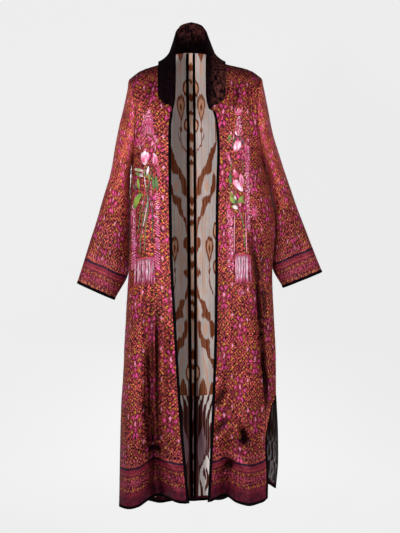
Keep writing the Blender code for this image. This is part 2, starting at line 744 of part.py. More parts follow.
def strand_mesh(path, radius):
    """A three-sided strand along a path, closed at both ends."""
    points, faces = [], []
    for place in path:
        for k in range(3):
            turn = 2 * math.pi * k / 3 + math.pi / 2
            points.append(place + radius * np.array((math.cos(turn), -math.sin(turn), 0)))
    for step in range(len(path) - 1):
        for k in range(3):
            a, b = 3 * step + k, 3 * step + (k + 1) % 3
            faces += [(a, b, b + 3), (a, b + 3, a + 3)]
    last = 3 * (len(path) - 1)
    faces += [(2, 1, 0), (last, last + 1, last + 2)]
    return points, faces


def add_fringe(surface, name, start, end, length_start, length_end, count):
    """A head strip with strands hanging from it, their roots fused into the strip."""
    ends = np.array((start, end))
    head = []
    for t in np.linspace(0, 1, HEAD_MARKS):
        x, z = lerp(ends[0], ends[1], t)
        low = lay(surface, x, z - HEAD_HEIGHT, STRAND_GAP)
        high = lay(surface, x, z, STRAND_GAP)
        head.append((high, low))
    sheet = np.array(head).transpose(1, 0, 2)
    outward = 1 if end[0] > start[0] else -1
    normals = grid_normals(sheet, outward)
    strip = add_wall(name, sheet + normals * HEAD_THICK, sheet, PINK, outward)
    points, faces = [], []
    for i in range(count):
        t = (i + 0.5) / count
        x, z = lerp(ends[0], ends[1], t)
        length = lerp(length_start, length_end, t)
        path = []
        for step in range(STRAND_STEPS + 1):
            drop = HEAD_HEIGHT / 2 + (length - HEAD_HEIGHT / 2) * step / STRAND_STEPS
            path.append(lay(surface, x, z - drop, STRAND_GAP + STRAND_RADIUS))
        new_points, new_faces = strand_mesh(path, STRAND_RADIUS)
        faces += [tuple(len(points) + k for k in face) for face in new_faces]
        points += new_points
    strands = add_object(name + "_strands", points, faces, PINK)
    strands.hide_render = True
    strands.display_type = "WIRE"
    union = strip.modifiers.new("roots", "BOOLEAN")
    union.operation = "UNION"
    union.object = strands
    return strip


# ---------------------------------------------------------------- the robe


def edge_parts(sheet, normals, edge):
    """The points of one edge, the way in along the cloth from each, and their normals."""
    moved = pull_in(sheet, normals, edge, 1.0)
    line = {"top": np.s_[0], "bottom": np.s_[-1], "first": np.s_[:, 0], "last": np.s_[:, -1]}[edge]
    return sheet[line], moved[line] - sheet[line], normals[line]


def bind_edge(name, sheet, normals, edge, outward, rows=np.s_[:]):
    line, inward, out = (part[rows] for part in edge_parts(sheet, normals, edge))
    return add_binding(name, line, inward, out, BLACK, -outward if edge == "last" else outward)


def bind_hem(name, sheet, normals, outward, gap_first, gap_last):
    """A hem's binding, which stops short of the bindings that come down the panel's sides."""
    moved = pull_in(sheet, normals, "first", gap_first)
    moved = pull_in(moved, normals, "last", gap_last)
    return bind_edge(name, moved, normals, "bottom", outward)


def main():
    for old in list(bpy.data.objects):
        bpy.data.objects.remove(old)

    names = {RIGHT: "right", LEFT: "left"}
    sheets = {"back": back_sheet()}
    turned = {"back": -1}
    for side, word in names.items():
        sheets[f"front_{word}"] = front_sheet(side)
        sheets[f"sleeve_{word}"] = sleeve_sheet(side)
        turned[f"front_{word}"] = side
        turned[f"sleeve_{word}"] = -side
    normals = {}
    for name, sheet in sheets.items():
        normals[name] = grid_normals(sheet, turned[name], name.startswith("sleeve"))
    share_seams(sheets, normals)

    bound = HALF_SEAM + BINDING_WIDTH + SEAM
    slit = ARMHOLE_ROWS + 1 + SKIRT_STEPS.index(SLIT_STEP)
    rows = len(sheets["back"])
    side_gap = np.where(np.arange(rows) > slit, bound, HALF_SEAM)
    facing = ARMHOLE_ROWS + 1 + SKIRT_STEPS.index(FACING_STEP)

    for side, word in names.items():
        name = f"front_{word}"
        sheet, out, turn = sheets[name], normals[name], turned[name]
        edge_gap = np.where(np.arange(rows) >= CHEST_ROW, bound, 2 * SEAM)
        panel = pull_in(sheet, out, "bottom", bound)
        panel = pull_in(panel, out, "top", SEAM)
        panel = pull_in(panel, out, "last", side_gap)
        panel = pull_in(panel, out, "first", edge_gap)
        add_cloth(name, panel, out, 0, SHELL, BROCADE, turn)
        bind_edge(f"binding_front_{word}", sheet, out, "first", turn, np.s_[CHEST_ROW:])
        bind_hem(f"binding_hem_{name}", sheet, out, turn, bound, bound)
        bind_edge(f"binding_slit_{name}", sheet, out, "last", turn, np.s_[slit + 1 :])
        surface = surface_of(sheet, turn)
        for flower, flower_side, *shape in FLOWERS:
            if flower_side == side:
                add_flower(surface, flower, *shape)
        add_fringe(surface, *FRINGES[side])

        name = f"sleeve_{word}"
        sheet, out, turn = sheets[name], normals[name], turned[name]
        panel = pull_in(sheet, out, "top", HALF_SEAM)
        panel = pull_in(panel, out, "bottom", bound)
        add_cloth(name, panel, out, 0, SHELL, BROCADE, turn, ring=True)
        line, inward, line_out = edge_parts(sheet, out, "bottom")
        add_binding(f"binding_cuff_{word}", line, inward, line_out, BLACK, turn, ring=True)

    sheet, out, turn = sheets["back"], normals["back"], turned["back"]
    panel = pull_in(sheet, out, "bottom", bound)
    panel = pull_in(panel, out, "top", SEAM)
    panel = pull_in(panel, out, "first", side_gap)
    panel = pull_in(panel, out, "last", side_gap)
    add_cloth("back", panel, out, 0, SHELL, BROCADE, turn)
    bind_hem("binding_hem_back", sheet, out, turn, bound, bound)
    for edge, word in (("first", "right"), ("last", "left")):
        bind_edge(f"binding_slit_back_{word}", sheet, out, edge, turn, np.s_[slit + 1 :])
    under = SHELL + SEAM
    add_cloth("lining_back", panel[: facing + 1], out[: facing + 1], under, LINING, IKAT, turn)
    lower = pull_in(panel[facing:], out[facing:], "top", SEAM)
    lower = pull_in(lower, out[facing:], "bottom", FACING_HEM_GAP)
    add_cloth("facing_back", lower, out[facing:], under, LINING, DARK_IKAT, turn)
    middle = sheet.shape[1] // 2
    for word, first in (("right", middle - 2), ("left", middle)):
        columns = np.s_[:, first : first + 2]
        depth = under + LINING + SEAM
        add_cloth(f"band_back_{word}", panel[columns], out[columns], depth, BAND_THICK, BLACK, turn)

    sheet = collar_sheet()
    out = grid_normals(sheet, 1)
    sheet = pull_in(sheet, out, "top", HALF_SEAM)
    add_wall("collar", sheet + out * VELVET / 2, sheet - out * VELVET / 2, VELVET_PILE, 1)


main()
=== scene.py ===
"""The looks of a long open robe (chapan): brocade, velvet shawl collar, ikat lining, bindings and embroidery.

Metres, +Z up. The front faces -Y. Right and left are the wearer's own, so the right front is at -X.
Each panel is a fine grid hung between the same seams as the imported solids, with its small creases added.
"""

import math

import bpy
import numpy as np
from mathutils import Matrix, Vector, noise
from mathutils.bvhtree import BVHTree


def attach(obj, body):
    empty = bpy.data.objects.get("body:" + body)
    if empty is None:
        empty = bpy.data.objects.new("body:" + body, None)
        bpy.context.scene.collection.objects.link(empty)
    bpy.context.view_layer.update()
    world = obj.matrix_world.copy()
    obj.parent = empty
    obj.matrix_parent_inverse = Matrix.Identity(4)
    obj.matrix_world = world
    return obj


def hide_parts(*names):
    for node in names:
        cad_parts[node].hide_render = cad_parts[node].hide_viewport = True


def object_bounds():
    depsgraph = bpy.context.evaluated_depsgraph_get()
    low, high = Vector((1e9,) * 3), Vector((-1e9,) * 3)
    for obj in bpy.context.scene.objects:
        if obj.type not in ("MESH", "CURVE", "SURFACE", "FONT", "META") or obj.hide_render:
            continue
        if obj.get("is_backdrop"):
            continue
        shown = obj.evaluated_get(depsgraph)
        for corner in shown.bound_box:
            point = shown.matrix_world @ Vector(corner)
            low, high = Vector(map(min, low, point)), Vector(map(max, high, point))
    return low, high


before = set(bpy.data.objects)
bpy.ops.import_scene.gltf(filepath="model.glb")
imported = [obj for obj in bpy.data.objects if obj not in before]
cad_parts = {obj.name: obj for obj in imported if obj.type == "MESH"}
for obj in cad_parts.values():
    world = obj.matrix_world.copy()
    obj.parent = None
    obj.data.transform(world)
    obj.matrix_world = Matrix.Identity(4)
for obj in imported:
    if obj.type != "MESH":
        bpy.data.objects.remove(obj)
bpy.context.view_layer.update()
bpy.ops.object.select_all(action="DESELECT")

RIGHT, LEFT = -1, 1
WORDS = {RIGHT: "right", LEFT: "left"}
UP = np.array((0.0, 0.0, 1.0))
# Tenths of a millimetre in a metre, the unit of the longest tables
TENTHS = 10000

# ---------------------------------------------------------------- sizes

# Cloth and seams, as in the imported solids. Bindings and bands are wider than there, and bindings thinner
SHELL = 0.0018
LINING = 0.0010
VELVET = 0.0026
SEAM = 0.0003
BINDING_WIDTH = 0.0076
BINDING_CLOTH = 0.0006
BAND_HALF = {RIGHT: 0.0046, LEFT: 0.0040}
BAND_THICK = 0.0010
# How far from a hem or a side a sewn strip ends, clear of the binding
HEM_GAP = BINDING_WIDTH + 0.0010

# How finely the panels are sampled
ARMHOLE_FINE = 60
SKIRT_FINE = 216
FRONT_FINE = 84
NECK_FINE = 16
BACK_FINE = 44
SLEEVE_FINE = 132

# Rows of the panels: 0 to 12 down the armhole, then by depth down the skirt
ARMHOLE_ROWS = 12
NECK_STEPS = (0.0, 0.04, 0.15, 0.32, 0.52, 0.72, 0.885, 1.0)
CHEST_ROW = len(NECK_STEPS) - 1
YOKE_ROWS = 5
SKIRT_ROW = 0.065
SIDE_CLOSER = 0.45
NECK_COLUMN_LOW = 0.30
SLIT_STEP = 0.684

NECK_MIDDLE = -0.017
NECK_Z = 0.028
NECK_BACK_Y = 0.078
NECK_BACK_Z = 0.0548
NECK_ROUND = 2.6
SHOULDER_Y = 0.004
CHEST_Z = -0.153
UNDERARM_Z = -0.285
SLIT_Z = -1.010
FACING_Z = -1.038
ARMHOLE_DEPTH = 0.066
ARMHOLE_SCOOP = 0.017
SCOOP_END = 0.30
UNDERARM_END = 0.07
TOP_FADE = ((0, ARMHOLE_ROWS, 1.5), (1, YOKE_ROWS, 2), (2, ARMHOLE_ROWS, 1.5))


def smooth(places, values, at):
    """A curve through the points with no overshoot (monotone cubic), held level past both ends."""
    places, values = np.asarray(places, float), np.asarray(values, float)
    steps = np.diff(places)
    slopes = np.diff(values) / steps
    tangents = np.concatenate((slopes[:1], np.zeros(len(slopes) - 1), slopes[-1:]))
    for i in range(1, len(slopes)):
        if slopes[i - 1] * slopes[i] > 0:
            tangents[i] = 2 / (1 / slopes[i - 1] + 1 / slopes[i])
    at = np.clip(at, places[0], places[-1])
    i = np.clip(np.searchsorted(places, at, side="right") - 1, 0, len(steps) - 1)
    step = steps[i]
    t = (at - places[i]) / step
    low = (1 + 2 * t) * (1 - t) ** 2 * values[i] + t * (1 - t) ** 2 * step * tangents[i]
    high = t * t * (3 - 2 * t) * values[i + 1] + t * t * (t - 1) * step * tangents[i + 1]
    return low + high


class Table:
    """Rows of numbers under named columns. at() reads a column at any place along the first one."""

    def __init__(self, names, *rows):
        self.names = names.split()
        self.columns = dict(zip(self.names, np.array(sorted(rows), float).T))

    def at(self, name, place):
        return smooth(self.columns[self.names[0]], self.columns[name], place)


SHOULDER = {
    RIGHT: Table(
        "x z",
        (0.0785, 0.028), (0.1, 0.012), (0.122, 0.003), (0.144, -0.0035), (0.175, -0.0165),
        (0.2093, -0.043),
    ),
    LEFT: Table(
        "x z",
        (0.0445, 0.028), (0.068, 0.014), (0.095, 0.0055), (0.138, -0.0045), (0.166, -0.0135),
        (0.2019, -0.0385),
    ),
}
UNDERARM_X = {RIGHT: 0.1985, LEFT: 0.2055}

FRONT_EDGE = {
    RIGHT: Table(
        "z x y",
        (0.028, 0.0785, 0.004), (0.005, 0.0772, -0.024), (-0.035, 0.0745, -0.058),
        (-0.08, 0.0725, -0.086), (-0.153, 0.0718, -0.112), (-0.205, 0.0772, -0.118),
        (-0.36, 0.0763, -0.121), (-0.572, 0.0733, -0.118), (-0.782, 0.0627, -0.118),
        (-1.083, 0.0444, -0.106), (-1.339, 0.022, -0.082),
    ),
    LEFT: Table(
        "z x y",
        (0.028, 0.0445, 0.004), (0.005, 0.043, -0.024), (-0.035, 0.0405, -0.058), (-0.08, 0.0385, -0.086),
        (-0.125, 0.039, -0.105), (-0.166, 0.054, -0.114), (-0.205, 0.0605, -0.118),
        (-0.271, 0.0635, -0.12), (-0.42, 0.0595, -0.12), (-0.782, 0.056, -0.118),
        (-1.083, 0.0467, -0.106), (-1.334, 0.035, -0.088),
    ),
}

SIDE = {
    RIGHT: Table(
        "z x y",
        (-0.285, 0.1985, 0.0), (-0.353, 0.2018, 0.0), (-0.626, 0.2095, 0.0), (-0.787, 0.2186, 0.0),
        (-0.912, 0.2248, 0.0), (-1.098, 0.2344, 0.0), (-1.363, 0.2393, 0.0),
    ),
    LEFT: Table(
        "z x y",
        (-0.285, 0.2055, 0.0), (-0.353, 0.2215, -0.003), (-0.415, 0.233, -0.006), (-0.484, 0.243, -0.01),
        (-0.53, 0.241, -0.012), (-0.6, 0.2345, -0.016), (-0.65, 0.2335, -0.02), (-0.781, 0.2385, -0.03),
        (-0.912, 0.244, -0.036), (-1.01, 0.244, -0.04), (-1.321, 0.2445, -0.04),
    ),
}

SLIT = {
    (LEFT, "front"): Table(
        "z dx dy",
        (-1.01, 0.0, 0.0), (-1.016, -0.001, -0.0008), (-1.06, -0.0165, -0.012), (-1.155, -0.031, -0.032),
        (-1.254, -0.027, -0.038), (-1.321, -0.0285, -0.04),
    ),
    (LEFT, "back"): Table(
        "z dx dy",
        (-1.01, 0.0, 0.0), (-1.016, 0.0003, 0.0011), (-1.06, 0.0035, 0.018), (-1.136, 0.008, 0.038),
        (-1.22, 0.0095, 0.052), (-1.313, 0.0025, 0.06),
    ),
}

BACK_MIDDLE = Table(
    "z x y",
    (0.0548, -0.019, 0.078), (0.01, -0.019, 0.094), (-0.06, -0.0185, 0.111), (-0.153, -0.0175, 0.124),
    (-0.285, -0.0165, 0.126), (-0.5, -0.015, 0.116), (-0.78, -0.013, 0.128), (-1.06, -0.0115, 0.132),
    (-1.375, -0.0105, 0.134),
)
STRIP_HALF = Table("z half", (0.0548, 0.0105), (-0.60, 0.0095), (-1.375, 0.0050))

ACROSS = Table(
    "row flat round",
    (0, 2.0, 1.0), (6, 2.2, 0.95), (12, 2.5, 0.62), (16, 2.6, 0.56), (28, 2.6, 0.56),
)

HEM = {
    "front_right": Table(
        "s z",
        (0.0, -1.339), (0.13, -1.3385), (0.28, -1.334), (0.45, -1.332), (0.58, -1.34), (0.72, -1.355),
        (0.88, -1.362), (1.0, -1.363),
    ),
    "front_left": Table(
        "s z",
        (0.0, -1.335), (0.14, -1.329), (0.3, -1.3245), (0.48, -1.336), (0.7, -1.341), (0.9, -1.335),
        (1.0, -1.324),
    ),
    RIGHT: Table("s z", (0.0, -1.375), (0.4, -1.372), (1.0, -1.363)),
    LEFT: Table("s z", (0.0, -1.375), (0.3, -1.368), (0.6, -1.330), (0.85, -1.300), (1.0, -1.313)),
}


def fold(*rows):
    """A fold down a panel: at g down the skirt it lies at s across. Its depth goes into the body."""
    return Table("g s depth width", *rows)


FOLDS = {
    "front_right": (
        fold(
            (0.4, 0.6, 0.0, 0.06), (0.5, 0.56, 0.014, 0.08), (0.7, 0.49, 0.04, 0.11),
            (0.86, 0.46, 0.062, 0.14), (1.0, 0.44, 0.078, 0.17),
        ),
        fold((0.45, 0.32, 0.000, 0.10), (0.75, 0.26, -0.010, 0.10), (1.00, 0.12, -0.006, 0.12)),
        fold((0.45, 0.80, 0.000, 0.12), (0.75, 0.82, -0.014, 0.12), (1.00, 0.86, -0.016, 0.12)),
    ),
    "front_left": (
        fold(
            (0.13, 0.5, 0.0, 0.05), (0.17, 0.54, 0.006, 0.05), (0.3, 0.69, 0.012, 0.06),
            (0.47, 0.73, 0.016, 0.06), (0.69, 0.8, 0.018, 0.07), (0.82, 0.95, 0.012, 0.08),
            (1.0, 1.0, 0.0, 0.1),
        ),
        fold((0.72, 0.34, 0.000, 0.08), (0.86, 0.30, 0.022, 0.10), (1.00, 0.28, 0.046, 0.13)),
        fold((0.55, 0.55, 0.000, 0.14), (0.80, 0.62, -0.012, 0.14), (1.00, 0.68, -0.022, 0.15)),
    ),
    RIGHT: (
        fold((0.20, 0.40, 0.000, 0.08), (0.60, 0.42, 0.012, 0.10), (1.00, 0.46, 0.034, 0.12)),
        fold((0.35, 0.70, 0.000, 0.08), (0.70, 0.72, -0.012, 0.10), (1.00, 0.74, -0.024, 0.12)),
    ),
    LEFT: (
        fold((0.15, 0.36, 0.000, 0.07), (0.55, 0.40, 0.014, 0.09), (1.00, 0.40, 0.030, 0.12)),
        fold((0.40, 0.66, 0.000, 0.09), (0.75, 0.66, -0.014, 0.11), (1.00, 0.66, -0.026, 0.13)),
    ),
}

SLEEVE = {
    RIGHT: Table(
        "t outer_x outer_z inner_x inner_z half_depth y",
        (0.00, 0.2093, -0.0430, 0.1985, -0.285, 0.066, 0.004),
        (0.07, 0.2165, -0.085, 0.2000, -0.302, 0.069, 0.006),
        (0.15, 0.2255, -0.125, 0.2015, -0.322, 0.071, 0.014),
        (0.25, 0.2385, -0.177, 0.2025, -0.350, 0.071, 0.024),
        (0.37, 0.2548, -0.257, 0.2030, -0.400, 0.068, 0.030),
        (0.50, 0.2706, -0.338, 0.2040, -0.455, 0.063, 0.032),
        (0.63, 0.2942, -0.4154, 0.2060, -0.520, 0.056, 0.032),
        (0.82, 0.3330, -0.5395, 0.2120, -0.635, 0.042, 0.026),
        (1.00, 0.3706, -0.6728, 0.2560, -0.724, 0.027, 0.012),
    ),
    LEFT: Table(
        "t outer_x outer_z inner_x inner_z half_depth y",
        (0.00, 0.2019, -0.0385, 0.2055, -0.285, 0.066, 0.004),
        (0.07, 0.2115, -0.077, 0.2095, -0.302, 0.070, 0.006),
        (0.15, 0.2215, -0.125, 0.2145, -0.322, 0.073, 0.014),
        (0.25, 0.2345, -0.190, 0.2200, -0.350, 0.074, 0.026),
        (0.37, 0.2612, -0.2758, 0.2290, -0.395, 0.074, 0.036),
        (0.50, 0.2868, -0.3534, 0.2370, -0.455, 0.070, 0.040),
        (0.63, 0.3132, -0.4310, 0.2380, -0.525, 0.062, 0.040),
        (0.82, 0.3500, -0.5270, 0.2350, -0.612, 0.044, 0.034),
        (1.00, 0.3904, -0.6380, 0.2690, -0.687, 0.027, 0.016),
    ),
}

COLLAR = Table(
    "u turn seam_z roll_x roll_y roll_z mid_x mid_y mid_z edge_x edge_y edge_z",
    (0.00, 0.00, 0.028, 0.0000, 0.090, 0.1510, 0.000, 0.116, 0.100, 0.000, 0.123, 0.040),
    (0.10, 0.44, 0.028, 0.0220, 0.086, 0.1450, 0.032, 0.112, 0.096, 0.040, 0.119, 0.036),
    (0.20, 0.78, 0.028, 0.0405, 0.072, 0.1310, 0.056, 0.096, 0.082, 0.070, 0.104, 0.022),
    (0.30, 0.96, 0.028, 0.0478, 0.047, 0.1100, 0.066, 0.065, 0.060, 0.090, 0.072, 0.006),
    (0.40, 1.00, 0.028, 0.0475, 0.014, 0.0820, 0.0665, 0.020, 0.045, 0.0995, 0.022, 0.0150),
    (0.50, 1.00, 0.003, 0.0465, -0.020, 0.0460, 0.070, -0.022, 0.020, 0.1005, -0.022, 0.0080),
    (0.60, 1.00, -0.035, 0.0455, -0.058, 0.0020, 0.072, -0.062, -0.012, 0.1005, -0.066, -0.024),
    (0.70, 1.00, -0.078, 0.0452, -0.092, -0.0450, 0.072, -0.095, -0.055, 0.1000, -0.092, -0.068),
    (0.80, 1.00, -0.117, 0.0455, -0.113, -0.0900, 0.071, -0.112, -0.097, 0.0985, -0.107, -0.104),
    (0.90, 1.00, -0.140, 0.0470, -0.121, -0.1220, 0.067, -0.121, -0.124, 0.0860, -0.114, -0.126),
    (1.00, 1.00, -0.153, 0.0535, -0.123, -0.1480, 0.0570, -0.1245, -0.1460, 0.0640, -0.1215, -0.1400),
)
SHOULDER_STATION = 0.40
COLLAR_FINE = 84
COLLAR_STAND_FINE = 22
COLLAR_FALL_FINE = 30
ROLL_LIFT = 0.0027
WIDER_LEFT = 1.06


# ---------------------------------------------------------------- sheets


def lerp(a, b, t):
    return a + (b - a) * t


def unit(vectors):
    return vectors / np.maximum(np.linalg.norm(vectors, axis=-1, keepdims=True), 1e-12)


def panel_rows():
    """The fine rows of a panel: their places down the armhole and how deep down the skirt they are."""
    above = np.linspace(0, ARMHOLE_ROWS, ARMHOLE_FINE + 1)
    skirt = np.linspace(0, 1, SKIRT_FINE + 1)[1:]
    rows = np.concatenate((above, ARMHOLE_ROWS + skirt / SKIRT_ROW))
    return rows, np.concatenate((np.zeros(len(above)), skirt))


def armhole(side, where, rows):
    """The armhole seam from the shoulder down to the underarm, over the front or the back of the arm."""
    tip_x = SHOULDER[side].columns["x"][-1]
    tip_z = SHOULDER[side].at("z", tip_x)
    turn = np.pi * rows / ARMHOLE_ROWS
    down = (1 - np.cos(turn)) / 2
    forward = -1 if where == "front" else 1
    x = lerp(tip_x, UNDERARM_X[side], down) - ARMHOLE_SCOOP * np.sin(turn) ** 2
    y = SHOULDER_Y * (1 - down) + forward * ARMHOLE_DEPTH * np.sin(turn)
    return np.column_stack((side * x, y, lerp(tip_z, UNDERARM_Z, down)))


def skirt_z(at_slit, at_hem, g):
    upper = lerp(UNDERARM_Z, at_slit, g / SLIT_STEP)
    lower = lerp(at_slit, at_hem, (g - SLIT_STEP) / (1 - SLIT_STEP))
    return np.where(g <= SLIT_STEP, upper, lower)


def side_line(side, where, hem_z):
    """The outer edge of a panel: its armhole, then its side down to the hem."""
    rows, g = panel_rows()
    above = armhole(side, where, rows[g == 0])
    z = skirt_z(SLIT_Z, hem_z, g[g > 0])
    x, y = (SIDE[side].at(axis, z) for axis in "xy")
    if (side, where) in SLIT:
        apart = SLIT[side, where]
        x, y = x + apart.at("dx", z), y + apart.at("dy", z)
    return np.concatenate((above, np.column_stack((side * x, y, z))))


def edge_z(top, hem_z):
    """Heights of the fine rows along an inner edge."""
    rows, g = panel_rows()
    neck = lerp(top, CHEST_Z, smooth(range(len(NECK_STEPS)), NECK_STEPS, rows))
    chest = lerp(CHEST_Z, UNDERARM_Z, (rows - CHEST_ROW) / (ARMHOLE_ROWS - CHEST_ROW))
    return np.where(g > 0, skirt_z(FACING_Z, hem_z, g), np.where(rows <= CHEST_ROW, neck, chest))


def shoulder_seam(side, across):
    table = SHOULDER[side]
    x = lerp(table.columns["x"][0], table.columns["x"][-1], across)
    return np.column_stack((side * x, np.full(len(x), SHOULDER_Y), table.at("z", x)))


def neck_curve(side, turn):
    """The back neck seam, turn 0 at the middle of the back and 1 at the shoulder seam."""
    y = lerp(SHOULDER_Y, NECK_BACK_Y, np.sqrt(np.maximum(1 - turn**NECK_ROUND, 0)))
    x = lerp(BACK_MIDDLE.at("x", NECK_BACK_Z), side * SHOULDER[side].columns["x"][0], turn)
    z = lerp(NECK_Z, NECK_BACK_Z, (y - SHOULDER_Y) / (NECK_BACK_Y - SHOULDER_Y))
    return np.column_stack((x, y, z))


def spread_columns(even, rows):
    """Columns evenly apart in the top row, which lie closer towards the side below the armhole."""
    below = np.clip(rows / ARMHOLE_ROWS, 0, 1)[:, None]
    return lerp(even, np.sin(even * np.pi / 2), below * SIDE_CLOSER)


def hang(inner, outer, across, top, hem, folds, inward):
    """A panel between its inner and outer edges. Gives its points with its folds, and without them."""
    rows, depth = panel_rows()
    s = across
    flat = ACROSS.at("flat", rows)[:, None]
    rounding = ACROSS.at("round", rows)[:, None]
    profile = np.maximum(1 - s**flat, 0) ** rounding
    x = lerp(inner[:, None, 0], outer[:, None, 0], s)
    y = lerp(outer[:, None, 1], inner[:, None, 1], profile)
    z = lerp(inner[:, None, 2], outer[:, None, 2], s)
    sheet = np.stack((x, y, z), axis=-1)
    first_row = top - sheet[0]
    for axis, reach, power in TOP_FADE:
        fade = np.clip(1 - rows / reach, 0, 1)[:, None] ** power
        sheet[..., axis] += first_row[:, axis] * fade
    g = depth[:, None]
    low = np.clip((g - SLIT_STEP) / (1 - SLIT_STEP), 0, 1) ** 2
    sheet[..., 2] += (hem.at("z", s) - lerp(inner[-1, 2], outer[-1, 2], s)) * low
    plain = sheet.copy()
    held_at_side = 1 - s**10
    for crease in folds:
        away = (s - crease.at("s", g)) / crease.at("width", g)
        sheet[..., 1] += inward * crease.at("depth", g) * np.exp(-(away**2)) * held_at_side
    return sheet, plain


def front_sheet(side):
    name = f"front_{WORDS[side]}"
    rows = panel_rows()[0]
    hem = HEM[name]
    z = edge_z(NECK_Z, hem.at("z", 0.0))
    inner = np.column_stack((side * FRONT_EDGE[side].at("x", z), FRONT_EDGE[side].at("y", z), z))
    outer = side_line(side, "front", hem.at("z", 1.0))
    even = np.linspace(0, 1, FRONT_FINE + 1)
    top = shoulder_seam(side, even)
    return hang(inner, outer, spread_columns(even[None], rows), top, hem, FOLDS[name], 1)


def back_half(side):
    """One half of the back, with its folds and without them."""
    rows = panel_rows()[0]
    hem = HEM[side]
    z = edge_z(NECK_BACK_Z, hem.at("z", 0.0))
    inner = np.column_stack((BACK_MIDDLE.at("x", z), BACK_MIDDLE.at("y", z), z))
    outer = side_line(side, "back", hem.at("z", 1.0))
    width = np.abs(outer[:, 0] - inner[:, 0])
    neck = abs(side * SHOULDER[side].columns["x"][0] - inner[0, 0]) / width[0]
    across, turns = half_columns(rows, neck)
    top = neck_curve(side, np.minimum(turns, 1))
    beyond = (across[0] - neck) / (1 - neck)
    top = np.where(turns[:, None] > 1, shoulder_seam(side, np.clip(beyond, 0, 1)), top)
    return hang(inner, outer, across, top, hem, FOLDS[side], -1)


def half_columns(rows, neck):
    """Columns of half a back, from the middle past the neck to the side, and their turns along the neck."""
    neck_rows = lerp(neck, NECK_COLUMN_LOW, np.clip(rows / ARMHOLE_ROWS, 0, 1))[:, None]
    middle = neck_rows * np.linspace(0, 1, NECK_FINE + 1)[None, :-1]
    out = lerp(neck_rows, 1, spread_columns(np.linspace(0, 1, BACK_FINE + 1)[None], rows))
    turns = np.concatenate((np.linspace(0, 1, NECK_FINE + 1)[:-1], [1.0], np.full(BACK_FINE, 2.0)))
    return np.concatenate((middle, out), axis=1), turns


def join_halves(right, left):
    return tuple(np.concatenate((r[:, ::-1], l[:, 1:]), axis=1) for r, l in zip(right, left))


def sleeve_sheet(side):
    """Rings from the armhole to the cuff, each from the underarm over the back and the front to itself."""
    table = SLEEVE[side]
    t = np.linspace(0, 1, SLEEVE_FINE + 1)[:, None]
    turn = np.pi * np.linspace(-1, 1, 2 * ARMHOLE_FINE + 1)[None]
    down = (1 - np.cos(turn)) / 2
    scoop = ARMHOLE_SCOOP * np.clip(1 - t / SCOOP_END, 0, 1) ** 2 * np.sin(turn) ** 2
    x = lerp(table.at("outer_x", t), table.at("inner_x", t), down) - scoop
    middle = table.at("y", t)
    y = lerp(middle, middle * np.clip(t / UNDERARM_END, 0, 1), down)
    y = y - table.at("half_depth", t) * np.sin(turn)
    z = lerp(table.at("outer_z", t), table.at("inner_z", t), down)
    return np.stack((side * x, y, z), axis=-1)


def collar_half(side):
    """Points of half the collar: columns from the middle of the back, rows from seam over roll to edge."""
    wide = WIDER_LEFT if side == LEFT else 1.0
    u = np.linspace(0, 1, COLLAR_FINE + 1)
    spots = {}
    for part in ("roll", "mid", "edge"):
        spots[part] = np.column_stack([COLLAR.at(f"{part}_{axis}", u) for axis in "xyz"])
        spots[part][:, 0] *= 1.0 if part == "roll" else wide
        spots[part][:, 0] = NECK_MIDDLE + side * spots[part][:, 0]
    z = COLLAR.at("seam_z", u)
    edge = FRONT_EDGE[side]
    ahead = np.column_stack((side * edge.at("x", z), edge.at("y", z), z))
    seam = np.where(u[:, None] > SHOULDER_STATION, ahead, neck_curve(side, COLLAR.at("turn", u)))
    rows = []
    for v in np.linspace(0, 1, COLLAR_STAND_FINE + 1):
        rows.append(lerp(seam, spots["roll"], v) + UP * ROLL_LIFT * v**8)
    for t in np.linspace(0, 1, COLLAR_FALL_FINE + 1)[1:]:
        curve = (1 - t) * (1 - 2 * t) * spots["roll"] + 4 * t * (1 - t) * spots["mid"]
        rows.append(curve + t * (2 * t - 1) * spots["edge"] + UP * ROLL_LIFT * (1 - t) ** 8)
    return np.array(rows)


# ---------------------------------------------------------------- small creases


def crease(x, z, end_x, end_z, width, depth, lean=0):
    """A soft trough on a panel between two places. A negative depth makes a ridge.

    With a lean it is a pleat instead: cloth that drops steeply to one side of the line, which is
    towards +X for 1 and towards -X for -1, where the line runs down.
    """
    ends = np.array(((x, z), (end_x, end_z))) / TENTHS
    return *ends, width / TENTHS, depth / TENTHS, lean


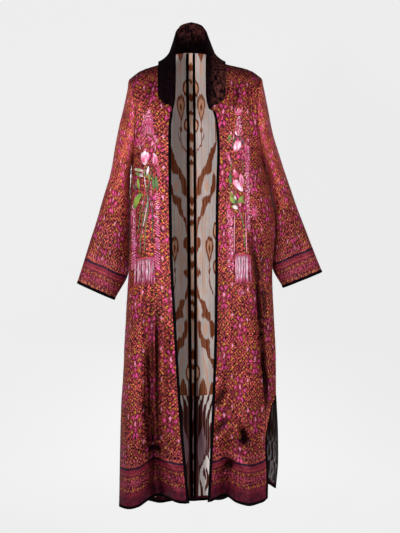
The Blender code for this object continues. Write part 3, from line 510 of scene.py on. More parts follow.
# Each row: the start's x and z, the end's, the width, the depth and any lean, in tenths of a millimetre
CREASES = {
    "front_right": (
        (-1220, -400, -1580, -1250, 80, 110), (-1100, -300, -1220, -1100, 70, -30),
        (-1650, -7800, -1500, -8600, 100, 67), (-1040, -7850, -720, -8500, 70, 60),
        (-920, -8300, -660, -9300, 80, 60), (-1000, -9000, -600, -10100, 90, 53),
        (-1010, -7200, -980, -12400, 90, -80), (-1340, -6400, -1520, -9300, 60, 100, 1),
        (-1590, -8500, -1670, -10800, 70, 125, 1), (-1670, -10200, -1510, -11900, 70, 125, 1),
        (-1510, -11300, -1490, -13400, 70, 115, 1), (-1040, -7000, -1030, -12400, 60, 100, -1),
        (-1460, -8800, -1420, -11000, 45, 80), (-1320, -7800, -1340, -10600, 45, 80),
        (-1190, -7400, -1200, -11800, 50, 90), (-1360, -10600, -1300, -13000, 50, 80),
        (-1460, -11660, -1080, -11560, 60, -75), (-1480, -11860, -1060, -11760, 80, 150),
        (-1600, -6400, -1570, -8000, 60, 53), (-1180, -11200, -620, -11900, 100, 67),
        (-1280, -11800, -520, -12150, 120, 90), (-1720, -11900, -1350, -11650, 80, 60),
        (-880, -12350, -500, -13000, 100, 75), (-2000, -10900, -1920, -12900, 120, 45),
        (-1500, -3500, -1350, -5200, 120, 33), (-1750, -3000, -1050, -3450, 100, 24),
        (-1960, -5600, -1200, -6400, 120, 33),
    ),
    "front_left": (
        (1600, -4800, 1790, -6700, 60, 130, 1), (1740, -6200, 1900, -8500, 60, 215, 1),
        (1870, -8000, 2090, -10900, 60, 225, 1), (1880, -5250, 1980, -6600, 45, 80, 1),
        (2000, -6600, 2120, -7800, 60, 80), (740, -6000, 800, -9800, 160, 65),
        (980, -8600, 860, -10200, 90, 70), (1340, -11060, 1520, -11600, 100, 150),
        (1200, -11520, 1680, -11460, 100, 200), (1180, -12080, 760, -12500, 110, 190),
        (880, -9850, 500, -10580, 110, 180), (1070, -10360, 760, -10720, 80, 85),
        (980, -10800, 500, -11300, 120, 160), (1310, -450, 1120, -1550, 70, 110),
        (1580, -500, 1700, -1700, 80, 80), (1500, -4700, 1830, -6400, 60, 60),
        (1860, -6200, 2260, -5900, 60, 53), (1900, -7750, 2300, -7900, 60, 60),
        (1920, -8000, 2320, -8250, 60, 45), (1120, -10800, 1600, -11500, 100, 90),
        (1680, -10900, 1300, -11600, 100, 75), (750, -11900, 1120, -12350, 100, 75),
        (1180, -11750, 1750, -12400, 90, 53), (620, -12300, 950, -12900, 100, 60),
        (1950, -9000, 2170, -10100, 60, 45), (2050, -9300, 2280, -10050, 50, 37),
        (1200, -3000, 1300, -4200, 120, 27), (850, -6400, 1200, -7400, 140, 33),
    ),
    "sleeve_right": (
        (-2140, -850, -2220, -2000, 90, 45), (-2400, -1100, -2050, -2050, 100, 53),
        (-2620, -3300, -2120, -3000, 100, 60), (-2850, -4400, -2120, -3750, 100, 67),
        (-3000, -4700, -2250, -4750, 120, 53), (-3100, -5600, -2500, -6100, 120, 45),
        (-3450, -6100, -3000, -6900, 100, 33),
    ),
    "sleeve_left": (
        (2130, -900, 2260, -2100, 90, 45), (2400, -1500, 2140, -2500, 100, 53),
        (2680, -3100, 2220, -3000, 100, 60), (3000, -4050, 2400, -3700, 100, 67),
        (3150, -4500, 2500, -4700, 120, 53), (3350, -5400, 2750, -6000, 120, 45),
        (3620, -5900, 3300, -6600, 100, 33),
    ),
    "back": (
        (-1200, -400, -1500, -1700, 120, 53), (1050, -300, 1250, -1600, 120, 53),
        (-700, -1200, -200, -2300, 140, 37), (-1800, -3300, -1100, -4200, 140, 60),
        (1900, -3400, 1200, -4100, 140, 60), (-1000, -5600, -900, -9000, 140, 53),
        (700, -6200, 800, -9800, 140, 53), (-1600, -9800, -1100, -10700, 120, 60),
        (1500, -10600, 1000, -11500, 120, 60), (100, -11200, 500, -12300, 120, 53),
    ),
}
# The ridges that rise beside a trough, and the drop of a pleat
RIDGE_SHARE = 0.45
RIDGE_PLACE = 1.7
RIDGE_MOST = 0.009
PLEAT_PEAK = 1.25
PLEAT_REACH = 3.5
# How near to a seam creases start to fade, and how far a sleeve's creases are moved for its back
EDGE_HOLD = 0.016
BEHIND = np.array((0.004, -0.022))

# Waves over the cloth: height, waves to a metre across the cloth and down it, and their own seed
WAVES = ((0.0030, 9, 3, 0), (0.0012, 18, 8, 3), (0.0004, 44, 22, 7))
# The swelling beside a seam: its height, where it starts and ends, and how much it puckers
SWELL = 0.0016
SWELL_START = 0.004
SWELL_END = 0.016
PUCKER = 0.8
PUCKERS = (70, 70, 11)

# The depths at which the painted shade of a crease and of a fold is at its darkest, and the power by which a
# crease's painted shade grows with depth
HOLLOW_DEPTH = 0.017
HOLLOW_EDGE = 1.5
FOLD_HOLLOW_DEPTH = 0.150


def grid_normals(sheet, outward, ring=False):
    """Unit normals of a sheet, on the side where outward is 1 for rows down crossed with columns across."""
    down = np.gradient(sheet, axis=0)
    across = np.gradient(sheet, axis=1)
    if ring:
        across[:, 0] = across[:, -1] = sheet[:, 1] - sheet[:, -2]
    return outward * unit(np.cross(down, across))


def lengths(sheet, axis):
    """How far along the cloth each point is from the first row (axis 0) or column (axis 1)."""
    steps = np.linalg.norm(np.diff(sheet, axis=axis), axis=-1)
    first = np.zeros_like(steps[:1] if axis == 0 else steps[:, :1])
    return np.concatenate((first, np.cumsum(steps, axis=axis)), axis=axis)


def from_seams(sheet, ring):
    """How far each point of a panel is from its nearest seam. The bottom edge is free."""
    from_top = lengths(sheet, 0)
    if ring:
        return from_top
    from_first = lengths(sheet, 1)
    return np.minimum(from_top, np.minimum(from_first, from_first[:, -1:] - from_first))


def waves(sheet, across, down, seed):
    """Uneven waves between -1 and 1 at each point, so many to a metre across the cloth and down it."""
    found = [
        noise.noise(Vector((x * across + seed, y * across, z * down)))
        for x, y, z in sheet.reshape(-1, 3)
    ]
    return np.array(found).reshape(sheet.shape[:2])


def creased(sheet, creases, normals, facing):
    """How far out each point moves for the creases on one face of a panel."""
    place = sheet[..., [0, 2]]
    moved = np.zeros(sheet.shape[:2])
    for start, end, width, depth, lean in creases:
        run = end - start
        from_start = place - start
        along = np.clip(from_start @ run / (run @ run), 0, 1)
        away = np.linalg.norm(from_start - along[..., None] * run, axis=-1) / width
        fade = np.clip(1 - np.abs(2 * along - 1) ** 3, 0, 1)
        if lean:
            past = lean * (run[0] * from_start[..., 1] - run[1] * from_start[..., 0]) > 0
            drop = PLEAT_PEAK * (1 - np.exp(-3 * away**2)) * np.exp(-away / PLEAT_REACH)
            moved -= depth * fade * np.where(past, drop, 0)
            continue
        trough = np.exp(-(away**2))
        ridges = RIDGE_SHARE * np.exp(-((away - RIDGE_PLACE) ** 2) / 0.6)
        moved -= fade * (depth * trough - min(depth, RIDGE_MOST) * ridges)
    return moved * np.clip(normals[..., 1] * facing * 3, 0, 1)


def shape_cloth(name, sheet, outward, seed, ring=False):
    """Gives a panel its creases, small waves and the swelling beside its seams.

    Gives its points, and how deep in a crease each one lies, from 0 to 1, which becomes painted shade in the
    brocade.
    """
    normals = grid_normals(sheet, outward, ring)
    away = from_seams(sheet, ring)
    held = np.clip(away / EDGE_HOLD, 0, 1) ** 1.5
    moved = sum(height * waves(sheet, across, down, seed + own) for height, across, down, own in WAVES)
    facing = 1 if name == "back" else -1
    creases = [crease(*row) for row in CREASES[name]]
    deep = creased(sheet, creases, normals, facing)
    if ring:
        behind = [(start + BEHIND, end + BEHIND, *size) for start, end, *size in creases]
        deep += creased(sheet, behind, normals, 1)
    moved *= held
    deep *= held
    straight = np.stack((0 * deep, deep * np.sign(normals[..., 1]), 0 * deep), axis=-1)
    across, down, own = PUCKERS
    pucker = 1 + PUCKER * waves(sheet, across, down, seed + own)
    rise = np.exp(-((away / SWELL_END) ** 2)) - np.exp(-((away / SWELL_START) ** 2))
    moved += SWELL * rise * pucker
    # How much painted shade each point gets, by how deep in a crease it lies
    painted_shade = np.clip(-deep / HOLLOW_DEPTH, 0, 1) ** HOLLOW_EDGE
    return sheet + normals * moved[..., None] + straight, painted_shade


# ---------------------------------------------------------------- meshes

SMOOTH_ANGLE = math.radians(50)
# How near the two ends of a ring have to be to be joined
MERGE = 0.00001
# A sheet's side is declared at least this long. The left band is narrower than that
LEAST_SIDE = 0.0101


def leave_only(piece):
    bpy.ops.object.select_all(action="DESELECT")
    piece.select_set(True)
    bpy.context.view_layer.objects.active = piece


def edit(piece, *steps):
    """Runs steps in edit mode with all of the piece selected."""
    leave_only(piece)
    bpy.ops.object.mode_set(mode="EDIT")
    bpy.ops.mesh.select_all(action="SELECT")
    for step in steps:
        step()
    bpy.ops.object.mode_set(mode="OBJECT")


def apply_modifiers(piece):
    leave_only(piece)
    for modifier in list(piece.modifiers):
        bpy.ops.object.modifier_apply(modifier=modifier.name)


def finish_piece(piece, finish, replaced=()):
    piece.data.materials.clear()
    piece.data.materials.append(finish)
    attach(piece, "root")
    if replaced:
        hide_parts(*replaced)
    return piece


def lay_grid(name, sheet, uv, outward, ring=False, painted_shade=None):
    """A grid of faces through the points of a sheet, with its cloth's own places as its UV map."""
    rows, columns = sheet.shape[:2]
    bpy.ops.mesh.primitive_grid_add(x_subdivisions=columns - 1, y_subdivisions=rows - 1, size=1)
    piece = bpy.context.object
    piece.name = piece.data.name = name
    piece.data.vertices.foreach_set("co", sheet.reshape(-1))
    corners = np.empty(len(piece.data.loops), int)
    piece.data.loops.foreach_get("vertex_index", corners)
    piece.data.uv_layers[0].uv.foreach_set("vector", uv.reshape(-1, 2)[corners].reshape(-1))
    # The painted shade of creases and folds, kept on the cloth for the brocade to darken its colour
    if painted_shade is not None:
        shade = piece.data.attributes.new("painted_shade", "FLOAT", "POINT")
        shade.data.foreach_set("value", painted_shade.reshape(-1))
    steps = []
    if outward > 0:
        steps.append(bpy.ops.mesh.flip_normals)
    if ring:
        steps.append(lambda: bpy.ops.mesh.remove_doubles(threshold=MERGE))
    edit(piece, *steps)
    piece.data.update()
    return piece


def thicken(piece, thick):
    """Gives a sheet its thickness, from its outer face inwards."""
    wall = piece.modifiers.new("thickness", "SOLIDIFY")
    wall.thickness = thick
    wall.offset = -1
    wall.use_even_offset = False
    apply_modifiers(piece)
    leave_only(piece)
    bpy.ops.object.shade_smooth_by_angle(angle=SMOOTH_ANGLE)


def cut_size(sheet):
    """The flat width, length and area that a sheet was cut to."""
    width = lengths(sheet, 1)[:, -1].max()
    length = lengths(sheet, 0)[-1].max()
    a = np.linalg.norm(np.cross(sheet[1:, 1:] - sheet[:-1, :-1], sheet[1:, :-1] - sheet[:-1, 1:]), axis=-1)
    return (float(width), float(length)), float(min(a.sum() / 2, width * length))


def declare(sheet):
    flat, area = cut_size(sheet)
    flat = tuple(max(size, LEAST_SIDE) for size in flat)


# ---------------------------------------------------------------- writing materials


def rgb(code):
    """A colour written as six hex digits, as Blender's linear one."""
    parts = [int(code[i : i + 2], 16) / 255 for i in (0, 2, 4)]
    return (*(c / 12.92 if c < 0.04045 else ((c + 0.055) / 1.055) ** 2.4 for c in parts), 1.0)


class Value:
    """A number, place or colour that changes over the cloth: an output of a shader node."""

    def __init__(self, recipe, socket):
        self.recipe = recipe
        self.socket = socket

    def maths(self, operation, *others):
        return self.recipe.node("ShaderNodeMath", (self, *others), operation=operation)

    def vectors(self, operation, *others):
        return self.recipe.node("ShaderNodeVectorMath", (self, *others), operation=operation)

    def __add__(self, other):
        return self.maths("ADD", other)

    def __sub__(self, other):
        return self.maths("SUBTRACT", other)

    def __mul__(self, other):
        return self.maths("MULTIPLY", other)

    def __truediv__(self, other):
        return self.maths("DIVIDE", other)

    def __abs__(self):
        return self.maths("ABSOLUTE")

    def atleast(self, other):
        return self.maths("MAXIMUM", other)

    def atmost(self, other):
        return self.maths("MINIMUM", other)

    def fraction(self):
        return self.maths("FRACT")

    def whole(self):
        return self.maths("FLOOR")


class Recipe:
    """Writes the nodes of one material or of one node group."""

    def __init__(self, tree):
        self.tree = tree

    def feed(self, socket, value):
        if isinstance(value, Value):
            self.tree.links.new(value.socket, socket)
        else:
            socket.default_value = value

    def node(self, kind, inputs=(), output=0, **settings):
        made = self.tree.nodes.new(kind)
        for name, setting in settings.items():
            setattr(made, name, setting)
        pairs = inputs.items() if isinstance(inputs, dict) else enumerate(inputs)
        for place, value in pairs:
            self.feed(made.inputs[place], value)
        return Value(self, made.outputs[output])

    def split(self, place):
        parts = self.node("ShaderNodeSeparateXYZ", (place,)).socket.node
        return [Value(self, parts.outputs[i]) for i in range(3)]

    def join(self, x, y, z=0.0):
        return self.node("ShaderNodeCombineXYZ", (x, y, z))

    def scaled(self, place, x, y, z=1.0):
        return place.vectors("MULTIPLY", (x, y, z))

    def noise(self, place, scale, detail=2.0, colour=False):
        inputs = {"Vector": place, "Scale": scale, "Detail": detail}
        return self.node("ShaderNodeTexNoise", inputs, 1 if colour else 0)

    def warped(self, place, scale, amount):
        """The place, moved about by a smooth noise of that many waves to a metre."""
        drift = self.noise(place, scale, 1.0, colour=True).vectors("SUBTRACT", (0.5, 0.5, 0.5))
        return place.vectors("ADD", self.scaled(drift, 2 * amount, 2 * amount, 0.0))

    def woven(self, place, across, along):
        """The place of the thread that a point lies on."""
        return place.vectors("SNAP", (across, along, 1.0))

    def below(self, value, edge, soft):
        """1 where a value is below an edge, and 0 above it."""
        return self.above(value, edge, -soft)

    def above(self, value, edge, soft):
        inputs = {"Value": value, "From Min": edge - soft / 2, "From Max": edge + soft / 2}
        return self.node("ShaderNodeMapRange", inputs, interpolation_type="SMOOTHSTEP")

    def between(self, value, low, high, soft):
        return self.above(value, low, soft) * self.below(value, high, soft)

    def paint(self, base, mask, colour, blend="MIX"):
        inputs = {0: mask, 6: base, 7: colour}
        return self.node("ShaderNodeMix", inputs, 2, data_type="RGBA", blend_type=blend)

    def dimmed(self, colour, shade):
        return self.paint(colour, 1.0, self.join(shade, shade, shade), "MULTIPLY")

    def oval(self, place, centre, radii, lean=0.0):
        """How far a place is from the middle of an oval: 1 is on its edge."""
        x, y = centre
        mapped = self.node(
            "ShaderNodeMapping",
            {"Vector": place, 1: (x, y, 0), 2: (0, 0, math.radians(lean)), 3: (*radii, 1)},
            vector_type="TEXTURE",
        )
        return self.node("ShaderNodeVectorMath", (mapped,), "Value", operation="LENGTH")

    def lozenge(self, place, centre, radii):
        """How far a place is from the middle of a lozenge: 1 is on its edge."""
        x, y = centre
        away = self.scaled(place.vectors("SUBTRACT", (x, y, 0)), 1 / radii[0], 1 / radii[1], 0.0)
        away = away.vectors("ABSOLUTE")
        inputs = (away, (1, 1, 0))
        return self.node("ShaderNodeVectorMath", inputs, "Value", operation="DOT_PRODUCT")

    def stroke(self, across, along, rows):
        """How far inside a painted stroke a point is.

        Its rows are (along, across, half width), in tenths of a millimetre.
        """
        table = np.array(sorted(rows), float) / TENTHS
        start, end = table[0, 0], table[-1, 0]
        inputs = {"Value": along, "From Min": start, "From Max": end}
        share = self.node("ShaderNodeMapRange", inputs)
        found = []
        for column in (1, 2):
            most = max(table[:, column].max(), 0.001)
            curve = self.node("ShaderNodeFloatCurve", {"Value": share})
            mapping = curve.socket.node.mapping
            points = mapping.curves[0].points
            for _ in table[2:]:
                points.new(0.5, 0.5)
            spots = zip((table[:, 0] - start) / (end - start), table[:, column] / most)
            for point, spot in zip(points, spots):
                point.location = spot
                point.handle_type = "VECTOR"
            mapping.update()
            found.append(curve * float(most))
        return found[1] - abs(across - found[0])

    def any_of(self, values):
        found = values[0]
        for value in values[1:]:
            found = found.atleast(value)
        return found

    def stroked(self, base, across, along, strokes, colour, soft, strength=1.0):
        """The base with strokes painted over it."""
        inside = self.any_of([self.stroke(across, along, rows) for rows in strokes])
        return self.paint(base, self.above(inside, 0.0, soft) * strength, colour)

    def group(self, tree, **inputs):
        """Places a node group, and gives its outputs by name."""
        made = self.tree.nodes.new("ShaderNodeGroup")
        made.node_tree = tree
        for name, value in inputs.items():
            self.feed(made.inputs[name], value)
        return {socket.name: Value(self, socket) for socket in made.outputs}


def new_group(name, inputs, outputs, write):
    """A shader node group with named inputs and outputs. write takes the recipe and its inputs."""
    tree = bpy.data.node_groups.new(name, "ShaderNodeTree")
    for word, kind in inputs.items():
        tree.interface.new_socket(word, in_out="INPUT", socket_type=f"NodeSocket{kind}")
    for word, kind in outputs.items():
        tree.interface.new_socket(word, in_out="OUTPUT", socket_type=f"NodeSocket{kind}")
    recipe = Recipe(tree)
    given = tree.nodes.new("NodeGroupInput")
    results = write(recipe, *(Value(recipe, given.outputs[word]) for word in inputs))
    put = tree.nodes.new("NodeGroupOutput")
    for word, value in zip(outputs, results):
        recipe.feed(put.inputs[word], value)
    return tree


def new_finish(name, write, **constants):
    """A material. write gives its colour, roughness and height in metres. The rest are constants."""
    made = bpy.data.materials.new(name)
    made.use_nodes = True
    recipe = Recipe(made.node_tree)
    shader = made.node_tree.nodes["Principled BSDF"]
    for socket, value in constants.items():
        shader.inputs[socket.replace("_", " ")].default_value = value
    colour, roughness, height = write(recipe)
    recipe.feed(shader.inputs["Base Color"], colour)
    recipe.feed(shader.inputs["Roughness"], roughness)
    bump = recipe.node("ShaderNodeBump", {"Height": height, "Distance": 1.0})
    recipe.feed(shader.inputs["Normal"], bump)
    return made


def cloth_place(recipe):
    return recipe.node("ShaderNodeUVMap", uv_map="UVMap")


# ---------------------------------------------------------------- shared effects


def write_weave(recipe, place, across, along):
    """A plain weave: threads that pass over and under each other."""
    x, y, _ = recipe.split(place)
    warp = (x / across * math.pi).maths("SINE")
    weft = (y / along * math.pi).maths("SINE")
    over = recipe.above(warp * weft, 0.0, 0.3)
    under = recipe.node("ShaderNodeMath", (1.0, over), operation="SUBTRACT")
    return (abs(warp) * over + abs(weft) * under,)


WEAVE = new_group(
    "plain weave",
    {"Place": "Vector", "Across": "Float", "Along": "Float"},
    {"Height": "Float"},
    write_weave,
)


def write_half_drop(recipe, place, width, height):
    """Places about the nearest of many centres, where every second row is moved half a width along."""
    x, y, _ = recipe.split(place)
    row = y / height * 2 + 0.5
    number = row.whole()
    shift = (number * 0.5).fraction()
    along = x / width - shift + 0.5
    inner_x = (along.fraction() - 0.5) * width
    inner_y = (row.fraction() - 0.5) * height * 0.5
    cell = recipe.join(along.whole() + shift, number)
    chance = recipe.node("ShaderNodeTexWhiteNoise", {"Vector": cell}, noise_dimensions="2D")
    return recipe.join(inner_x, inner_y), chance


HALF_DROP = new_group(
    "half drop",
    {"Place": "Vector", "Width": "Float", "Height": "Float"},
    {"Place": "Vector", "Chance": "Float"},
    write_half_drop,
)

# Sizes of the brocade's own threads, as far as they show
THREAD_ACROSS = 0.0008
THREAD_ALONG = 0.0006

GROUND = rgb("4c151a")
DEEP = rgb("220912")
SALMON = rgb("ca5a4e")
ROSE = rgb("a2343c")
AMBER = rgb("c67c30")
GOLD = rgb("a67a1e")
MAGENTA = rgb("be3e78")
PALE_PINK = rgb("d07c9a")
RED = rgb("7e2434")
NAVY = rgb("1c1026")
CRIMSON = rgb("6c1030")
WINE = rgb("5c1828")
DARK_WINE = rgb("421224")


def write_field(recipe, place):
    """The small broken lattice of lozenges that fills the brocade: bright floats on a dark ground."""
    moved = recipe.warped(recipe.warped(place, 24, 0.0040), 105, 0.0022)
    thread = recipe.woven(moved, THREAD_ACROSS, THREAD_ALONG)
    small = recipe.group(HALF_DROP, Place=thread, Width=0.0112, Height=0.0138)
    away = recipe.lozenge(small["Place"], (0, 0), (0.0056, 0.0069))
    ring = away.atmost(away * -1 + 2)
    large = recipe.group(HALF_DROP, Place=thread, Width=0.0233, Height=0.0305)
    far = recipe.lozenge(large["Place"], (0, 0), (0.01165, 0.01525))
    big_ring = far.atmost(far * -1 + 2)
    hue = recipe.noise(moved, 130, 1.0)
    strand = recipe.paint(SALMON, recipe.above(hue, 0.50, 0.14), ROSE)
    strand = recipe.paint(strand, recipe.below(hue, 0.38, 0.08) * 0.4, AMBER)
    broken = recipe.noise(recipe.scaled(moved, 1.0, 0.7), 190, 1.0)
    whole = recipe.above(broken, 0.46, 0.14)
    colour = recipe.paint(GROUND, recipe.above(ring, 0.62, 0.2), DEEP)
    raised = recipe.between(ring, 0.14, 0.62, 0.20) * whole
    colour = recipe.paint(colour, raised, strand)
    colour = recipe.paint(colour, recipe.between(ring, 0.76, 0.90, 0.08) * whole * 0.35, ROSE)
    frame = recipe.between(big_ring, 0.72, 0.86, 0.08) * recipe.above(broken, 0.42, 0.1)
    colour = recipe.paint(colour, frame * 0.9, strand)
    colour = recipe.paint(colour, recipe.above(big_ring, 0.90, 0.08) * 0.85, DEEP)
    chance = large["Chance"]
    seed = recipe.oval(large["Place"], (0, 0), (0.0015, 0.0031))
    colour = recipe.paint(colour, recipe.below(seed, 1.9, 0.5) * 0.6, DEEP)
    dot = recipe.below(seed, 1.05, 0.3)
    colour = recipe.paint(colour, dot * recipe.above(chance, 0.35, 0.02), GOLD)
    colour = recipe.paint(colour, dot * recipe.below(chance, 0.10, 0.02), MAGENTA)
    spark = recipe.below(ring, 0.24, 0.12) * recipe.above(small["Chance"], 0.68, 0.02)
    colour = recipe.paint(colour, spark, AMBER)
    height = raised * 0.00012 + dot * 0.00016
    return colour, height


FIELD = new_group(
    "brocade field", {"Place": "Vector"}, {"Color": "Color", "Height": "Float"}, write_field
)

# Repeat of the large figures
CLUSTER_WIDTH = 0.0932
CLUSTER_HEIGHT = 0.183
# The parts of one figure: colour, shape, centre, half sizes and lean, mirrored to both sides
FIGURE = (
    (MAGENTA, "lozenge", (0.0140, -0.003), (0.0046, 0.0072), 0),
    (MAGENTA, "oval", (0.0058, 0.0245), (0.0030, 0.0070), -20),
    (MAGENTA, "oval", (0.0048, -0.0320), (0.0030, 0.0078), 16),
    (MAGENTA, "oval", (0.000, -0.0150), (0.0018, 0.0070), 0),
    (GOLD, "oval", (0.0125, 0.0135), (0.0020, 0.0042), -24),
    (GOLD, "oval", (0.0120, -0.0215), (0.0024, 0.0046), 24),
    (GOLD, "oval", (0.000, 0.0385), (0.0026, 0.0042), 0),
    (GOLD, "oval", (0.000, -0.0480), (0.0024, 0.0038), 0),
    (PALE_PINK, "lozenge", (0.000, 0.004), (0.0032, 0.0110), 0),
    (PALE_PINK, "lozenge", (0.0235, 0.0300), (0.0030, 0.0084), 0),
)


def write_figure(recipe, place, base):
    """A large figure of petals, leaves and lozenges over a darker halo."""
    moved = recipe.warped(recipe.warped(place, 22, 0.0030), 130, 0.0018)
    thread = recipe.woven(moved, THREAD_ACROSS, THREAD_ALONG)
    repeat = recipe.group(HALF_DROP, Place=thread, Width=CLUSTER_WIDTH, Height=CLUSTER_HEIGHT)
    x, y, _ = recipe.split(repeat["Place"])
    mirrored = recipe.join(abs(x), y)
    halo = recipe.oval(mirrored, (0, 0), (0.021, 0.042))
    colour = recipe.paint(base, recipe.below(halo, 0.98, 0.5) * 0.40, CRIMSON)
    lively = repeat["Chance"] * 0.45 + 0.38
    raised = None
    broken = recipe.noise(recipe.scaled(thread, 1.0, 0.4), 330, 1.0)
    for tint, shape, centre, radii, lean in FIGURE:
        if shape == "oval":
            away = recipe.oval(mirrored, centre, radii, lean)
        else:
            away = recipe.lozenge(mirrored, centre, radii)
        away = away + broken * 1.5
        colour = recipe.paint(colour, recipe.below(away, 2.10, 0.35) * 0.5, DEEP)
        inside = recipe.below(away, 1.66, 0.44) * (broken * 0.8 + lively).atmost(0.96)
        colour = recipe.paint(colour, inside, tint)
        if tint == GOLD:
            colour = recipe.paint(colour, recipe.below(away, 0.92, 0.15) * 0.8, GROUND)
        raised = inside if raised is None else raised.atleast(inside)
    return colour, raised * 0.00018


FIGURES = new_group(
    "brocade figures",
    {"Place": "Vector", "Base": "Color"},
    {"Color": "Color", "Height": "Float"},
    write_figure,
)

BORDER_TOP = 0.1245
# Rows woven along the hem: colour, height above the hem, half height, spacing, half width, slant
DASHES = (
    (GOLD, 0.0545, 0.0032, 0.0144, 0.0032, 0.0),
    (MAGENTA, 0.0745, 0.0068, 0.0094, 0.0017, 0.18),
    (GOLD, 0.0905, 0.0034, 0.0144, 0.0030, 0.0),
    (SALMON, 0.1275, 0.0032, 0.0070, 0.0018, 0.0),
    (PALE_PINK, 0.1330, 0.0014, 0.0096, 0.0014, 0.0),
    (ROSE, 0.1440, 0.0078, 0.0096, 0.0020, -0.10),
    (PALE_PINK, 0.1430, 0.0042, 0.0096, 0.0010, -0.10),
)


def write_border(recipe, place, base):
    """The rows of the woven border, by their height above its lower edge."""
    moved = recipe.warped(recipe.warped(place, 14, 0.0048), 90, 0.0018)
    thread = recipe.woven(moved, THREAD_ACROSS, THREAD_ALONG)
    x, y, _ = recipe.split(thread)
    blotch = recipe.noise(recipe.scaled(thread, 1.0, 0.6), 70, 2.0)
    inside = recipe.below(y, BORDER_TOP, 0.004)
    colour = recipe.paint(base, inside, WINE)
    colour = recipe.paint(colour, inside * recipe.above(blotch, 0.54, 0.1), DARK_WINE)
    colour = recipe.paint(colour, recipe.between(y, 0.0350, 0.0470, 0.004) * 0.55, RED)
    colour = recipe.paint(colour, recipe.between(y, 0.0990, 0.1170, 0.002) * (blotch * 0.8 + 0.35), RED)
    line = recipe.above((y / 0.0032 * math.pi).maths("SINE"), 0.5, 0.5)
    colour = recipe.paint(colour, recipe.between(y, 0.0990, 0.1080, 0.002) * line * 0.4, SALMON)
    wavy = y - (x / 0.0035 * math.pi).maths("SINE") * 0.0007
    colour = recipe.paint(colour, recipe.between(wavy, 0.1180, 0.1235, 0.0012), NAVY)
    mosaic = recipe.noise(thread, 240, 1.0)
    band = recipe.between(y, 0.0480, 0.0970, 0.004)
    colour = recipe.paint(colour, band * recipe.above(mosaic, 0.56, 0.08) * 0.6, SALMON)
    colour = recipe.paint(colour, inside * recipe.below(mosaic, 0.43, 0.10) * 0.6, DEEP)
    for tint, height, half_height, spacing, half_width, slant in DASHES:
        across = ((x + (y - height) * slant) / spacing).fraction() - 0.5
        away = recipe.join(across * spacing, y - height)
        edge = recipe.oval(away, (0, 0), (half_width, half_height)) + blotch * 1.8
        colour = recipe.paint(colour, recipe.below(edge, 1.80, 0.7) * (blotch * 0.9 + 0.1), tint)
    return (colour,)


BORDER = new_group(
    "brocade border", {"Place": "Vector", "Base": "Color"}, {"Color": "Color"}, write_border
)


def brocade_recipe(figure_shift, border_shift, light, hem_shade_depth):
    """The brocade of one set of panels. figure_shift moves its figures, and border_shift lowers its border.

    light is a painted brightness for the whole set, standing for the light that falls on it, and the last
    argument is how much painted shade darkens it towards its lower edge.
    """

    def write(recipe):
        place = cloth_place(recipe)
        field = recipe.group(FIELD, Place=place)
        figures = recipe.group(FIGURES, Place=place.vectors("SUBTRACT", figure_shift), Base=field["Color"])
        lifted = place.vectors("ADD", (0, border_shift, 0))
        border = recipe.group(BORDER, Place=lifted, Base=figures["Color"])
        thread = recipe.noise(recipe.scaled(place, 1.0, 0.06), 900, 1.0)
        # Painted sheen: this wrinkle noise raises the cloth's bump and also paints brighter and darker
        # patches into its colour
        wrinkles_and_painted_sheen = recipe.noise(recipe.scaled(place, 1.0, 0.6), 42, 3.0)
        # Painted shade of the creases, folds and shoulder seam, read from the cloth's attribute
        painted_shade = recipe.node("ShaderNodeAttribute", output=2, attribute_name="painted_shade")
        up = recipe.split(place)[1]
        # Painted shade: darker towards the lower edge
        hem_shading = recipe.above(up, 0.26, 0.24) * hem_shade_depth + (1 - hem_shade_depth)
        glint = recipe.above(recipe.noise(place, 400, 1.0), 0.50, 0.24)
        # Painted shade: up to nine tenths darker in the deepest creases and folds and below the shoulder seam
        shade = (thread * 0.4 + wrinkles_and_painted_sheen * 0.8 + glint * 0.5 + 0.13) * (painted_shade * -0.90 + 1) * hem_shading * light
        colour = recipe.dimmed(border["Color"], shade)
        weave = recipe.group(WEAVE, Place=place, Across=THREAD_ACROSS, Along=THREAD_ALONG)
        height = field["Height"] + figures["Height"] + weave["Height"] * 0.00005 + thread * 0.00004
        height = height + wrinkles_and_painted_sheen * 0.0022
        roughness = recipe.noise(place, 60, 2.0) * 0.2 + 0.36
        return colour, roughness, height

    return write


# ---------------------------------------------------------------- ikat

WARP_WHITE = rgb("cfc5c1")
WARP_GREY = rgb("aba5a6")
BROWN = rgb("743518")
PEACH = rgb("d6a283")
MAROON = rgb("4a1b17")
DARK_MAROON = rgb("35130f")
PAINTED_SLIT_SHADE = rgb("140606")
MAUVE = rgb("8b6b73")

